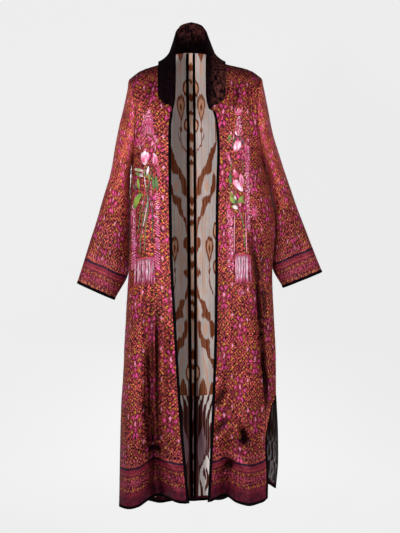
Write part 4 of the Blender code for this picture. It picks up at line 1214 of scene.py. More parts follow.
# Painted strokes of the lining, in tenths of a millimetre. Each row: height z, distance from the
# middle, half width
BROWN_STROKES = (
    ((750, 370, 120), (520, 360, 115), (380, 350, 62), (240, 340, 0)),
    (
        (-687, 330, 0), (-750, 330, 70), (-880, 330, 122), (-1030, 330, 140), (-1200, 330, 118),
        (-1380, 330, 62), (-1570, 330, 15), (-1740, 330, 10), (-1780, 330, 38), (-1850, 330, 46),
        (-1950, 330, 10), (-2030, 335, 12), (-2280, 330, 16), (-2400, 270, 24), (-2490, 190, 28),
        (-2560, 140, 20),
    ),
    ((-1880, 420, 0), (-2030, 410, 18), (-2160, 370, 16), (-2280, 330, 0)),
    (
        (-2250, 820, 20), (-2400, 740, 70), (-2550, 690, 90), (-2800, 590, 80), (-2950, 565, 100),
        (-3100, 495, 155), (-3240, 465, 155), (-3285, 340, 90), (-3420, 290, 98), (-3660, 235, 85),
        (-3880, 225, 85), (-3970, 160, 30), (-4020, 140, 0),
    ),
    (
        (-3220, 725, 0), (-3300, 725, 50), (-3540, 720, 60), (-3780, 680, 80), (-3930, 625, 40),
        (-3980, 525, 110), (-4080, 470, 153), (-4175, 465, 135), (-4275, 400, 63), (-4420, 365, 75),
        (-4570, 325, 55), (-4666, 235, 55), (-4840, 190, 30), (-5250, 150, 12), (-5320, 190, 60),
        (-5410, 195, 85), (-5560, 195, 85), (-5660, 170, 50), (-5750, 145, 20), (-6200, 130, 10),
        (-6290, 150, 40), (-6340, 195, 85), (-6450, 195, 85), (-6520, 160, 40), (-6620, 130, 0),
    ),
    (
        (-5230, 560, 0), (-5300, 560, 65), (-5420, 560, 120), (-5550, 560, 137), (-5720, 560, 115),
        (-5920, 560, 58), (-6090, 560, 14), (-6260, 560, 10), (-6310, 560, 36), (-6370, 560, 40),
        (-6450, 560, 10), (-6635, 540, 14), (-6880, 590, 22), (-7050, 660, 22), (-7160, 740, 10),
    ),
    (
        (-6780, 140, 10), (-6980, 170, 35), (-7125, 185, 55), (-7250, 190, 58), (-7285, 290, 75),
        (-7340, 330, 85), (-7470, 360, 80), (-7615, 405, 85), (-7690, 443, 133), (-7835, 435, 155),
        (-7895, 500, 80), (-7950, 580, 60), (-8030, 635, 90), (-8350, 640, 80), (-8475, 630, 55),
        (-8530, 630, 0),
    ),
    (
        (-7900, 200, 0), (-7960, 215, 40), (-8056, 220, 60), (-8250, 215, 50), (-8400, 250, 70),
        (-8500, 300, 90), (-8540, 385, 135), (-8693, 415, 145), (-8790, 410, 128), (-8840, 480, 62),
        (-8940, 500, 60), (-9134, 530, 43), (-9208, 620, 80), (-9330, 645, 45), (-9500, 670, 18),
        (-9560, 680, 0),
    ),
    (
        (-9800, 330, 0), (-9850, 330, 40), (-9980, 325, 85), (-10120, 325, 125), (-10300, 320, 138),
        (-10550, 320, 140),
    ),
    ((-9900, 680, 0), (-9950, 670, 60), (-10100, 640, 100), (-10300, 630, 125), (-10550, 620, 125)),
)
PEACH_STROKES = (
    ((300, 340, 0), (150, 340, 45), (-60, 340, 40), (-220, 340, 0)),
    (
        (-820, 330, 0), (-930, 330, 80), (-1030, 330, 98), (-1180, 330, 78), (-1360, 330, 30),
        (-1480, 330, 0),
    ),
    ((-3450, 500, 0), (-3580, 500, 60), (-3750, 500, 50), (-3860, 500, 0)),
    (
        (-4300, 430, 0), (-4700, 425, 18), (-5200, 410, 26), (-6000, 385, 20), (-6800, 385, 26),
        (-7000, 400, 20), (-7220, 410, 0),
    ),
    ((-4780, 290, 0), (-5000, 300, 18), (-5200, 355, 18), (-5360, 400, 0)),
    (
        (-5350, 560, 0), (-5450, 560, 76), (-5550, 560, 90), (-5720, 560, 66), (-5880, 560, 22),
        (-6000, 560, 0),
    ),
    ((-5750, 260, 0), (-5900, 260, 45), (-6050, 260, 45), (-6200, 270, 0)),
    ((-7400, 180, 0), (-7600, 195, 30), (-7800, 190, 20), (-7900, 190, 0)),
    ((-8000, 412, 0), (-8120, 410, 50), (-8300, 410, 50), (-8420, 410, 0)),
    (
        (-8900, 330, 0), (-9100, 340, 26), (-9400, 390, 30), (-9700, 455, 38), (-10000, 480, 28),
        (-10550, 480, 24),
    ),
)
# Painted over the peach ones: the cores of the drops
CORE_STROKES = (
    ((-980, 330, 0), (-1050, 330, 28), (-1140, 330, 36), (-1260, 330, 0)),
    ((-5490, 560, 0), (-5560, 560, 28), (-5660, 560, 32), (-5800, 560, 0)),
)
# Rings beside the bands and the sides: height, distance, half width, half height
RINGS = (
    (-0.0527, 0.0105, 0.0160, 0.0270),
    (-0.1690, 0.0100, 0.0150, 0.0240),
    (-0.9650, 0.0100, 0.0140, 0.0280),
    (-0.5080, 0.0810, 0.0140, 0.0300),
    (-0.6220, 0.0810, 0.0140, 0.0280),
)
# Marks along the middle strip: height, half height
KNOTS = (
    (0.012, 0.013), (-0.03, 0.007), (-0.081, 0.014), (-0.13, 0.009), (-0.208, 0.016), (-0.255, 0.015),
    (-0.289, 0.01), (-0.412, 0.015), (-0.449, 0.013), (-0.482, 0.012), (-0.57, 0.014), (-0.617, 0.015),
    (-0.706, 0.012), (-0.738, 0.01), (-0.779, 0.015), (-0.905, 0.018), (-0.945, 0.011), (-1.02, 0.026),
)
STRIP_EDGE = 0.009


def write_threads(recipe, place):
    """Ikat edges: bundles of warp threads that slipped up or down a little."""
    x, y, _ = recipe.split(place)
    bundle = recipe.node("ShaderNodeTexNoise", {"Vector": recipe.scaled(place, 1.0, 0.03), "Scale": 330.0})
    thread = recipe.node("ShaderNodeTexNoise", {"Vector": recipe.scaled(place, 1.0, 0.04), "Scale": 1400.0})
    slip = (bundle - 0.5) * 0.030 + (thread - 0.5) * 0.012
    return recipe.join(x, y + slip), thread


THREADS = new_group(
    "ikat threads", {"Place": "Vector"}, {"Place": "Vector", "Thread": "Float"}, write_threads
)


def write_lining(recipe, place):
    """The painted strokes of the lining on both sides of its middle."""
    slipped = recipe.group(THREADS, Place=place)
    x, y, _ = recipe.split(slipped["Place"])
    across = abs(x)
    cloud = recipe.noise(recipe.scaled(place, 1.0, 0.35), 26, 2.0)
    colour = recipe.paint(WARP_WHITE, recipe.above(cloud, 0.46, 0.3) * 0.5, WARP_GREY)
    streak = recipe.noise(recipe.scaled(place, 1.0, 0.14), 190, 1.0)
    colour = recipe.paint(colour, recipe.above(streak, 0.60, 0.14) * 0.50, PEACH)
    colour = recipe.stroked(colour, across, y, BROWN_STROKES, BROWN, 0.0016)
    colour = recipe.stroked(colour, across, y, PEACH_STROKES, PEACH, 0.003, 0.75)
    colour = recipe.stroked(colour, across, y, CORE_STROKES, BROWN, 0.0016)
    even = recipe.join(across, recipe.split(place)[1])
    fleck = recipe.oval(even, (0.0395, 0.0575), (0.0026, 0.0024))
    colour = recipe.paint(colour, recipe.below(fleck, 1.0, 0.4), WARP_WHITE)
    mirrored = recipe.join(across, y)
    for height, distance, half_width, half_height in RINGS:
        away = recipe.oval(mirrored, (distance, height), (half_width, half_height))
        colour = recipe.paint(colour, recipe.below(away, 0.70, 0.12), PEACH)
        colour = recipe.paint(colour, recipe.between(away, 0.68, 1.0, 0.10), BROWN)
    strip = recipe.below(across, STRIP_EDGE, 0.0006)
    knots = [abs(y - height) * -1 + half_height for height, half_height in KNOTS]
    knot = recipe.any_of(knots) - abs(across * 0.7)
    middle = recipe.paint(WARP_WHITE, recipe.above(streak, 0.42, 0.2) * 0.8, PEACH)
    middle = recipe.paint(middle, recipe.above(knot, 0.0, 0.003), BROWN)
    colour = recipe.paint(colour, strip, middle)
    shade = slipped["Thread"] * 0.30 + 0.85
    return (recipe.dimmed(colour, shade),)


LINING_FIGURE = new_group(
    "lining figure", {"Place": "Vector"}, {"Color": "Color"}, write_lining
)

FACING_REPEAT = 0.122
# Painted strokes of the facing, written in the same way
LIGHT_STROKES = (
    ((-10200, 320, 50), (-10400, 260, 34), (-10580, 205, 30), (-10740, 165, 0)),
    ((-10200, 480, 60), (-10380, 425, 58), (-10600, 365, 40), (-10920, 300, 0)),
    ((-10200, 660, 60), (-10430, 590, 52), (-10780, 470, 50), (-11160, 400, 0)),
    ((-10580, 680, 20), (-10850, 620, 44), (-11100, 570, 46), (-11400, 530, 0)),
    ((-11900, 650, 10), (-12000, 600, 30), (-12200, 560, 46), (-12410, 530, 0)),
    (
        (-12280, 460, 0), (-12380, 450, 40), (-12500, 450, 130), (-12680, 430, 190), (-12900, 420, 215),
        (-13300, 410, 235), (-14000, 400, 240),
    ),
    ((-10700, 880, 40), (-11100, 820, 50), (-11600, 780, 0)),
    ((-11000, 1150, 30), (-11500, 1060, 60), (-12300, 1000, 40), (-13000, 980, 0)),
    ((-10600, 1350, 30), (-11200, 1280, 40), (-12100, 1240, 50), (-13300, 1200, 30)),
    ((-11500, 1600, 20), (-12000, 1540, 50), (-13300, 1500, 60), (-14000, 1490, 40)),
    ((-10400, 1900, 40), (-11200, 1820, 30), (-12500, 1780, 50), (-14000, 1760, 60)),
    ((-10600, 2150, 40), (-11600, 2080, 30), (-12600, 2060, 60), (-14000, 2040, 40)),
)
MAUVE_STROKES = (
    (
        (-11350, 320, 0), (-11500, 310, 34), (-11650, 300, 88), (-11800, 295, 135), (-12050, 285, 142),
        (-12250, 260, 108), (-12450, 235, 66), (-12580, 210, 0),
    ),
    ((-11500, 900, 0), (-11800, 880, 100), (-12200, 840, 120), (-12700, 800, 0)),
    ((-10600, 1600, 0), (-11000, 1560, 90), (-11500, 1500, 60), (-12000, 1480, 0)),
)
HOOK_STROKES = (
    ((-12680, 355, 0), (-12800, 355, 42), (-12940, 370, 46), (-13020, 400, 22), (-13060, 400, 0)),
    (
        (-12710, 410, 0), (-12780, 435, 30), (-12900, 470, 35), (-13100, 480, 45), (-13250, 445, 45),
        (-13380, 400, 30), (-13450, 380, 0),
    ),
    ((-13020, 210, 0), (-13150, 235, 30), (-13350, 270, 40), (-13600, 280, 44)),
    ((-12400, 600, 0), (-12520, 560, 36), (-12620, 540, 0)),
)


def write_facing(recipe, place):
    """The darker ikat at the foot of the lining."""
    slipped = recipe.group(THREADS, Place=place)
    x, y, _ = recipe.split(slipped["Place"])
    across = x.maths("PINGPONG", FACING_REPEAT)
    cloud = recipe.noise(recipe.scaled(place, 1.0, 0.3), 40, 2.0)
    colour = recipe.paint(MAROON, recipe.above(cloud, 0.52, 0.2) * 0.6, DARK_MAROON)
    colour = recipe.stroked(colour, across, y, LIGHT_STROKES, WARP_WHITE, 0.0018)
    colour = recipe.stroked(colour, across, y, MAUVE_STROKES, MAUVE, 0.0018)
    colour = recipe.stroked(colour, across, y, HOOK_STROKES, MAROON, 0.0016)
    strip = recipe.below(across, STRIP_EDGE, 0.0006)
    lens = recipe.noise(recipe.scaled(place, 0.7, 0.12), 150, 1.0)
    middle = recipe.paint(MAROON, recipe.above(lens, 0.50, 0.05), MAUVE)
    colour = recipe.paint(colour, strip, middle)
    # Painted shade: the facing's sides, seen through the open slit, are painted almost black
    aside = recipe.above(abs(x), 0.190, 0.04)
    colour = recipe.paint(colour, aside * 0.94, PAINTED_SLIT_SHADE)
    bent = recipe.warped(slipped["Place"], 22, 0.016)
    loops = recipe.group(HALF_DROP, Place=bent, Width=0.030, Height=0.120)
    loop = recipe.oval(loops["Place"], (0, 0), (0.0100, 0.0400))
    loop = recipe.between(loop, 0.50, 0.95, 0.20) * recipe.below(y, -1.165, 0.09) * aside
    colour = recipe.paint(colour, loop * 0.38, WARP_GREY)
    shade = slipped["Thread"] * 0.35 + 0.96
    return (recipe.dimmed(colour, shade),)


FACING_FIGURE = new_group(
    "facing figure", {"Place": "Vector"}, {"Color": "Color"}, write_facing
)


def ikat_recipe(figure):
    """Soft plain cloth with an ikat figure."""

    def write(recipe):
        place = cloth_place(recipe)
        colour = recipe.group(figure, Place=place)["Color"]
        weave = recipe.group(WEAVE, Place=place, Across=0.0005, Along=0.0007)
        slub = recipe.noise(recipe.scaled(place, 1.0, 0.1), 500, 2.0)
        height = weave["Height"] * 0.00004 + slub * 0.00010
        return colour, slub * 0.2 + 0.50, height

    return write


# ---------------------------------------------------------------- velvet, binding and floss


def write_velvet(recipe):
    """Dark pile with a soft mottled bump, and painted sheen in brown mottles on the wearer's left and inside
    the stand.
    """
    place = recipe.node("ShaderNodeTexCoord", output=3)
    x, y, z = recipe.split(place)
    moved = recipe.warped(place, 45, 0.006)
    mottle = recipe.noise(recipe.scaled(moved, 1.0, 1.0, 0.55), 125, 4.0)
    fine = recipe.noise(place, 420, 2.0)
    # Painted sheen: where the pile catches the light, full on the wearer's left at the front, six tenths
    # inside the stand and a twentieth elsewhere
    left = recipe.above(x, 0.050, 0.026) * recipe.below(y, 0.04, 0.06)
    stand = recipe.above(y, 0.055, 0.03) * recipe.above(z, 0.098, 0.035) * 0.6
    painted_sheen = recipe.above(mottle, 0.52, 0.30) * (left * 0.95 + stand + 0.05)
    colour = recipe.paint(rgb("040103"), painted_sheen * (fine * 0.8 + 0.4), rgb("4a2622"))
    height = mottle * 0.0016 + fine * 0.00035
    return colour, fine * 0.2 + 0.75, height


def write_black(recipe):
    """Black woven cloth, a little dusty."""
    place = cloth_place(recipe)
    weave = recipe.group(WEAVE, Place=place, Across=0.0007, Along=0.0007)
    dust = recipe.noise(place, 120, 3.0)
    colour = recipe.paint(rgb("020102"), recipe.above(dust, 0.55, 0.3) * 0.5, rgb("080505"))
    return colour, dust * 0.2 + 0.7, weave["Height"] * 0.00008 + dust * 0.0003


SATIN = {"Specular_IOR_Level": 0.08, "Metallic": 0.25}
# Lit copies of one brocade: the sleeves' is painted brighter (1.55 against 0.95) for the light that falls on
# them, and darker towards its lower edge by 0.50 against 0.24; their figures and borders also lie differently
brocade = new_finish("brocade", brocade_recipe((0, 0.2540, 0), 0.0, 0.95, 0.24), **SATIN)
sleeve_brocade = new_finish("sleeve brocade", brocade_recipe((0.030, 0.190, 0), 0.042, 1.55, 0.50), **SATIN)
MATT = {"Specular_IOR_Level": 0.08}
lining_ikat = new_finish("lining ikat", ikat_recipe(LINING_FIGURE), **MATT)
facing_ikat = new_finish("facing ikat", ikat_recipe(FACING_FIGURE), **MATT)
velvet = new_finish(
    "velvet",
    write_velvet,
    Sheen_Weight=0.015,
    Sheen_Roughness=0.35,
    Sheen_Tint=rgb("5a3028"),
    Specular_IOR_Level=0.02,
)
black_cloth = new_finish("black binding", write_black, Specular_IOR_Level=0.03)
paper = new_finish(
    "pale paper",
    lambda recipe: (rgb("5a5a5a"), 0.95, recipe.noise(cloth_place(recipe), 40.0) * 0.0001),
    Emission_Color=(1, 1, 1, 1),
    Specular_IOR_Level=0.0,
)
# The paper glows in plain view, lights the robe only a little, and is clear from behind
GLOW_SEEN = 0.515
GLOW_LIT = 0.25
glow = Recipe(paper.node_tree)
seen = glow.node("ShaderNodeLightPath")
behind_it = glow.node("ShaderNodeNewGeometry", output=6)
sockets = paper.node_tree.nodes["Principled BSDF"].inputs
glow.feed(sockets["Emission Strength"], seen * GLOW_SEEN + GLOW_LIT)
glow.feed(sockets["Alpha"], behind_it * -1 + 1)

# ---------------------------------------------------------------- the panels

# How dark the shade below the shoulder seam is, how far down it is full and over what length it fades
SHADE_DEPTH = 0.80
SHADE_FULL = 0.0168
SHADE_FADE = 0.048
# Where the two columns of figures lie on each front, from the middle of the body
CLUSTER_COLUMNS = {RIGHT: (0.1845, 0.1334), LEFT: (0.1777, 0.1311)}


def up_from_hem(sheet):
    down = lengths(sheet, 0)
    return down[-1:] - down


def front_places(side, plain):
    """Places on a front's cloth. The first column of figures is at u 0, half a repeat from the next."""
    along = lengths(plain, 1)
    places = np.empty(plain.shape[:2])
    for row, (points, lie) in enumerate(zip(plain, along)):
        outer, nearer = np.interp(CLUSTER_COLUMNS[side], side * points[:, 0], lie)
        places[row] = (lie - outer) * CLUSTER_WIDTH / 2 / (outer - nearer)
    return np.stack((places, up_from_hem(plain)), axis=-1)


def places_from_middle(sheet, v):
    along = lengths(sheet, 1)
    return np.stack((along - along[:, sheet.shape[1] // 2, None], v), axis=-1)


def in_folds(hung, plain):
    """How deep in its large folds each point of a panel lies, from 0 to 1, which becomes painted shade in the
    brocade.
    """
    return np.clip(np.abs(hung[..., 1] - plain[..., 1]) / FOLD_HOLLOW_DEPTH, 0, 1)


def under_shoulder(hung):
    """The shade along the top of a panel, where it turns up to the shoulder seam."""
    fade = (lengths(hung, 0) - SHADE_FULL) / SHADE_FADE
    return SHADE_DEPTH * np.clip(1 - fade, 0, 1)


sheets, outward, places, painted_shades = {}, {}, {}, {}
for side, word in WORDS.items():
    name = f"front_{word}"
    hung, plain = front_sheet(side)
    outward[name] = side
    sheets[name], painted_shade = shape_cloth(name, hung, side, 5 * side)
    # Painted shade: the deeper of the crease and fold shade, or the painted shade below the shoulder seam
    painted_shades[name] = np.maximum(np.maximum(painted_shade, in_folds(hung, plain)), under_shoulder(hung))
    places[name] = front_places(side, plain)
    name = f"sleeve_{word}"
    tube = sleeve_sheet(side)
    outward[name] = -side
    sheets[name], painted_shades[name] = shape_cloth(name, tube, -side, 20 + side, ring=True)
    places[name] = places_from_middle(tube, up_from_hem(tube))
hung, plain = join_halves(back_half(RIGHT), back_half(LEFT))
outward["back"] = -1
sheets["back"], painted_shade = shape_cloth("back", hung, -1, 40)
# Painted shade of the back's creases and folds
painted_shades["back"] = np.maximum(painted_shade, in_folds(hung, plain))
places["back"] = places_from_middle(plain, up_from_hem(plain))
normals = {name: grid_normals(sheets[name], outward[name], "sleeve" in name) for name in sheets}

panels = {}
for name, sheet in sheets.items():
    tube = "sleeve" in name
    piece = lay_grid(f"cloth_{name}", sheet, places[name], outward[name], tube, painted_shades[name])
    thicken(piece, SHELL)
    panels[name] = finish_piece(piece, sleeve_brocade if tube else brocade, (name,))

# ---------------------------------------------------------------- linings and bands


def offset(sheet, normal, distance):
    return sheet + normal * distance


z_rows = sheets["back"][..., 2]
middle = sheets["back"].shape[1] // 2
facing_row = int(np.argmin(np.abs(z_rows[:, middle] - FACING_Z)))
face = offset(sheets["back"], normals["back"], -(SHELL + SEAM + LINING))
lining_places = places_from_middle(plain, z_rows)
FACING_HEM_GAP = 0.010
BAND_COLUMNS = 7
linings = {}
for name, rows, cloth, slot in (
    ("lining_back", np.s_[: facing_row + 1], lining_ikat, "ikat_lining"),
    ("facing_back", np.s_[facing_row:], facing_ikat, "dark_ikat_facing"),
):
    part = face[rows]
    if name == "facing_back":
        part = part[: int(np.sum(up_from_hem(part)[:, middle] > FACING_HEM_GAP))]
    piece = lay_grid(f"cloth_{name}", part, lining_places[rows][: len(part)], 1)
    thicken(piece, LINING)
    linings[name] = finish_piece(piece, cloth, (name,))
    sheets[name] = part

for side, word in WORDS.items():
    name = f"band_back_{word}"
    depth = SHELL + SEAM + LINING + SEAM + BAND_THICK
    under = offset(sheets["back"], normals["back"], -depth)
    spots = np.linspace(-BAND_HALF[side], BAND_HALF[side], BAND_COLUMNS) * side
    strip = np.empty((len(under), len(spots), 3))
    for row, points in enumerate(under):
        lie = lining_places[row, :, 0]
        at = side * STRIP_HALF.at("half", points[middle, 2]) + spots
        strip[row] = np.column_stack([np.interp(at, lie, points[:, axis]) for axis in range(3)])
    strip = strip[: int(np.sum(up_from_hem(strip)[:, BAND_COLUMNS // 2] > HEM_GAP))]
    flat = np.stack((lengths(strip, 1), up_from_hem(strip)), axis=-1)
    piece = lay_grid(f"cloth_{name}", strip, flat, side)
    thicken(piece, BAND_THICK)
    panels[name] = finish_piece(piece, black_cloth, (name,))
    sheets[name] = strip

# ---------------------------------------------------------------- bindings

BINDING_GAP = 0.0001
LEG = (1.0, 0.66, 0.33, 0.10)
FOLD_TURN = np.linspace(np.pi / 2, -np.pi / 2, 7)


def binding(name, sheet, out, turn, ring=False):
    """A folded strip round the last row of a sheet, with a leg on each face of the cloth."""
    from_edge = lengths(sheet[::-1], 0)
    legs, lifts = [], []
    for reach in LEG:
        at = reach * BINDING_WIDTH
        spots, normal = np.empty((2, sheet.shape[1], 3))
        for column in range(sheet.shape[1]):
            for axis in range(3):
                spots[column, axis] = np.interp(at, from_edge[:, column], sheet[::-1, column, axis])
                normal[column, axis] = np.interp(at, from_edge[:, column], out[::-1, column, axis])
        legs.append(spots)
        lifts.append(unit(normal))
    rise = BINDING_GAP + BINDING_CLOTH
    inward = unit(legs[0] - sheet[-1])
    middle_line = sheet[-1] - out[-1] * SHELL / 2 + inward * BINDING_GAP
    radius = SHELL / 2 + rise
    rows = [spots + lift * rise for spots, lift in zip(legs, lifts)]
    rows += [middle_line + radius * (out[-1] * math.sin(a) - inward * math.cos(a)) for a in FOLD_TURN]
    rows += [spots - lift * (SHELL + rise) for spots, lift in zip(legs[::-1], lifts[::-1])]
    strip = np.array(rows)
    flat = np.stack((lengths(strip, 1), lengths(strip, 0)), axis=-1)
    piece = lay_grid(f"cloth_{name}", strip, flat, turn, ring=ring)
    thicken(piece, BINDING_CLOTH)
    panels[name] = finish_piece(piece, black_cloth, (name,))
    sheets[name] = strip


def trimmed(line, first, last):
    """Gives a function that cuts these lengths off the two ends of the rows of a grid."""
    lie = lengths(line, 1)[-1]
    keep = np.linspace(first, lie[-1] - last, len(lie))
    spots = np.interp(keep, lie, np.arange(len(lie)))
    low = np.minimum(spots.astype(int), len(lie) - 2)
    part = (spots - low)[None, :, None]
    return lambda grid: grid[:, low] * (1 - part) + grid[:, low + 1] * part


# How much of a panel a binding's legs may lie on: rows at a hem, columns at a front edge and at a slit
HEM_ROWS = np.s_[-12:]
EDGE_COLUMNS = 12
SLIT_COLUMNS = 14
SLIT_ROW = ARMHOLE_FINE + 1 + int(round(SLIT_STEP * SKIRT_FINE))
CHEST_FINE = int(round(CHEST_ROW * ARMHOLE_FINE / ARMHOLE_ROWS))
for side, word in WORDS.items():
    name = f"front_{word}"
    sheet, out = sheets[name], normals[name]
    down = np.s_[CHEST_FINE:, :EDGE_COLUMNS]
    turned = [np.swapaxes(grid[down], 0, 1)[::-1] for grid in (sheet, out)]
    binding(f"binding_front_{word}", *turned, side)
    down = np.s_[SLIT_ROW:, -SLIT_COLUMNS:]
    turned = [np.swapaxes(grid[down], 0, 1) for grid in (sheet, out)]
    binding(f"binding_slit_front_{word}", *turned, -side)
    low, low_out = sheet[HEM_ROWS], out[HEM_ROWS]
    cut = trimmed(low, HEM_GAP, HEM_GAP)
    binding(f"binding_hem_front_{word}", cut(low), unit(cut(low_out)), side)
    name = f"sleeve_{word}"
    binding(f"binding_cuff_{word}", sheets[name][HEM_ROWS], normals[name][HEM_ROWS], -side, ring=True)
    down = np.s_[SLIT_ROW:, -SLIT_COLUMNS:] if side == LEFT else np.s_[SLIT_ROW:, :SLIT_COLUMNS]
    turned = [np.swapaxes(grid[down], 0, 1) for grid in (sheets["back"], normals["back"])]
    if side == RIGHT:
        turned = [grid[::-1] for grid in turned]
    binding(f"binding_slit_back_{word}", *turned, side)
low, low_out = sheets["back"][HEM_ROWS], normals["back"][HEM_ROWS]
cut = trimmed(low, HEM_GAP, HEM_GAP)
binding("binding_hem_back", cut(low), unit(cut(low_out)), -1)

# ---------------------------------------------------------------- the collar

COLLAR_EDGE_ROUND = 0.0011
halves = collar_half(RIGHT), collar_half(LEFT)
sheet = np.concatenate((halves[0][:, ::-1], halves[1][:, 1:]), axis=1)
out = grid_normals(sheet, 1)
sheet = sheet + out * VELVET / 2
flat = places_from_middle(sheet, lengths(sheet, 0))
piece = lay_grid("cloth_collar", sheet, flat, 1)
thicken(piece, VELVET)
rounding = piece.modifiers.new("rounded edge", "BEVEL")
rounding.limit_method = "ANGLE"
rounding.angle_limit = math.radians(60)
rounding.width = COLLAR_EDGE_ROUND
rounding.segments = 3
apply_modifiers(piece)
leave_only(piece)
bpy.ops.object.shade_smooth_by_angle(angle=SMOOTH_ANGLE)
panels["collar"] = finish_piece(piece, velvet, ("collar",))
sheets["collar"] = sheet

# ---------------------------------------------------------------- embroidery

FLOSS = {
    "white": rgb("e6d0da"),
    "pale": rgb("dc98b4"),
    "blush": rgb("d0649a"),
    "dusty": rgb("b67c94"),
    "pink": rgb("d65c8a"),
    "rose": rgb("c23062"),
    "magenta": rgb("98205e"),
    "red": rgb("bc3048"),
    "lime": rgb("7f9030"),
    "green": rgb("40641a"),
    "dark": rgb("1a2a14"),
    "grey": rgb("3c5a2c"),
}
# How flat a strand lies, the height of a petal and how finely a cord's line is followed
GRAIN_FLAT = 0.62
PETAL_FLAT = 0.0019
CORD_STEPS = 12


def write_floss(recipe):
    """Glossy floss whose strands run along each stitch, in the stitch's own tint."""
    tint = recipe.node("ShaderNodeAttribute", attribute_name="tint")
    place = cloth_place(recipe)
    x = recipe.split(place)[0]
    strand = (x * (2 * math.pi)).maths("SINE")
    fine = recipe.noise(recipe.scaled(place, 3.0, 0.6), 2.0, 2.0)
    shade = strand * 0.13 + fine * 0.5 + 0.62
    colour = recipe.dimmed(tint, shade)
    return colour, fine * 0.2 + 0.38, strand * 0.00010 + fine * 0.00012


floss = new_finish("pink floss", write_floss, Sheen_Weight=0.15, Specular_IOR_Level=0.45)


def grain(segments, rings, strands, twist):
    """A closed grain of floss. Its UV map counts the strands round it."""
    bpy.ops.mesh.primitive_uv_sphere_add(segments=segments, ring_count=rings, radius=1)
    model = bpy.context.object
    bpy.ops.object.shade_smooth()
    uv = np.empty(len(model.data.loops) * 2)
    model.data.uv_layers[0].uv.foreach_get("vector", uv)
    uv = uv.reshape(-1, 2)
    uv[:, 0] = uv[:, 0] * strands + uv[:, 1] * twist
    model.data.uv_layers[0].uv.foreach_set("vector", uv.reshape(-1))
    model.data.color_attributes.new("tint", "FLOAT_COLOR", "POINT")
    return model


BEAD = grain(6, 5, 4, 0)
CORD = grain(6, 13, 3, 5)
PETAL = grain(14, 11, 22, 0)


def face_of(side):
    return BVHTree.FromObject(panels[f"front_{WORDS[side]}"], bpy.context.evaluated_depsgraph_get())


FACES = {side: face_of(side) for side in WORDS}


def onto(side, places, lift):
    """Lays places, given as x and z in millimetres, on the outer face of a front."""
    spots, out = [], np.zeros(3)
    for x, z in places:
        spot, normal, _, _ = FACES[side].ray_cast((x / 1000, -1, z / 1000), (0, 1, 0))
        turned = unit(np.array(normal) + (0, -1, 0))
        spots.append(np.array(spot) + turned * lift)
        out += turned
    return np.array(spots), unit(out)


def reached(path):
    """How far along a line each of its points is."""
    return np.concatenate(([0], np.cumsum(np.linalg.norm(np.diff(path, axis=0), axis=1))))


def lay_grain(model, path, out, half_width, height, tints, blunt=0.5):
    """A copy of a grain, bent along a path over the cloth and tinted from its start to its end."""
    mesh = model.data.copy()
    spots = np.empty(len(mesh.vertices) * 3)
    mesh.vertices.foreach_get("co", spots)
    spots = spots.reshape(-1, 3)
    share = np.arccos(np.clip(-spots[:, 2], -1, 1)) / math.pi
    turn = spots[:, :2] / np.maximum(np.linalg.norm(spots[:, :2], axis=1, keepdims=True), 0.001)
    gone = reached(path) / reached(path)[-1]

    def at(t):
        return np.column_stack([np.interp(t, gone, path[:, axis]) for axis in range(3)])

    along = unit(at(np.minimum(share + 0.04, 1)) - at(np.maximum(share - 0.04, 0)))
    across = unit(np.cross(out, along))
    full = np.sin(np.pi * share)
    wide = half_width * full**blunt
    high = height * full**0.5
    placed = at(share) + across * (turn[:, 0] * wide)[:, None] + out * (turn[:, 1] * high)[:, None]
    mesh.vertices.foreach_set("co", placed.reshape(-1))
    colours = np.array([FLOSS[word] for word in tints])
    spread = np.linspace(0, 1, len(colours))
    mixed = np.column_stack([np.interp(share, spread, colours[:, i]) for i in range(4)])
    mesh.attributes["tint"].data.foreach_set("color", mixed.reshape(-1))
    laid = bpy.data.objects.new("stitch", mesh)
    bpy.context.scene.collection.objects.link(laid)
    return laid


def rounded(points, steps):
    """A smooth line through points."""
    points = np.array(points, float)
    if len(points) == 2:
        return points[0] + np.linspace(0, 1, steps)[:, None] * (points[1] - points[0])
    gone = reached(points)
    at = np.linspace(0, gone[-1], steps)
    return np.column_stack([smooth(gone, points[:, axis], at) for axis in range(2)])


def cord(side, points, half, tints, lift=0.0):
    """One strand of floss couched along a line. half is in millimetres."""
    half = half / 1000
    path, out = onto(side, rounded(points, CORD_STEPS), half * GRAIN_FLAT * 0.7 + lift)
    return [lay_grain(CORD, path, out, half, half * GRAIN_FLAT, tints, 0.3)]


def stitches(side, points, half, tints, length=7.0, overlap=1.25):
    """Stem stitches along a line, each overlapping the next, in turns of the tints."""
    points = np.array(points, float)
    count = max(int(round(reached(points)[-1] / length)), 1)
    line = rounded(points, count + 1)
    laid = []
    for number, (start, end) in enumerate(zip(line[:-1], line[1:])):
        middle, reach = (start + end) / 2, (end - start) / 2 * overlap
        path, out = onto(side, (middle - reach, middle, middle + reach), half / 1000 * GRAIN_FLAT)
        tint = tints[number % len(tints)]
        laid.append(lay_grain(BEAD, path, out, half / 1000, half / 1000 * GRAIN_FLAT, (tint, tint)))
    return laid


def beads(side, points, half, tints):
    """A chain of small round knots."""
    return stitches(side, points, half, tints, half * 2.3, 0.95)


def strewn(side, points, band, count, half, tints):
    """Loose knots strewn over a band of this half width along a line, all in millimetres."""
    chance = np.random.default_rng(count)
    line = rounded(points, 24)
    laid = []
    for number in range(count):
        middle = line[chance.integers(len(line))] + chance.uniform(-band, band, 2)
        turn = chance.uniform(0, math.pi)
        reach = np.array((math.sin(turn), math.cos(turn))) * half * 1.3
        tint = tints[number % len(tints)]
        laid += stitches(side, (middle - reach, middle + reach), half, (tint,), 99, 1.0)
    return laid


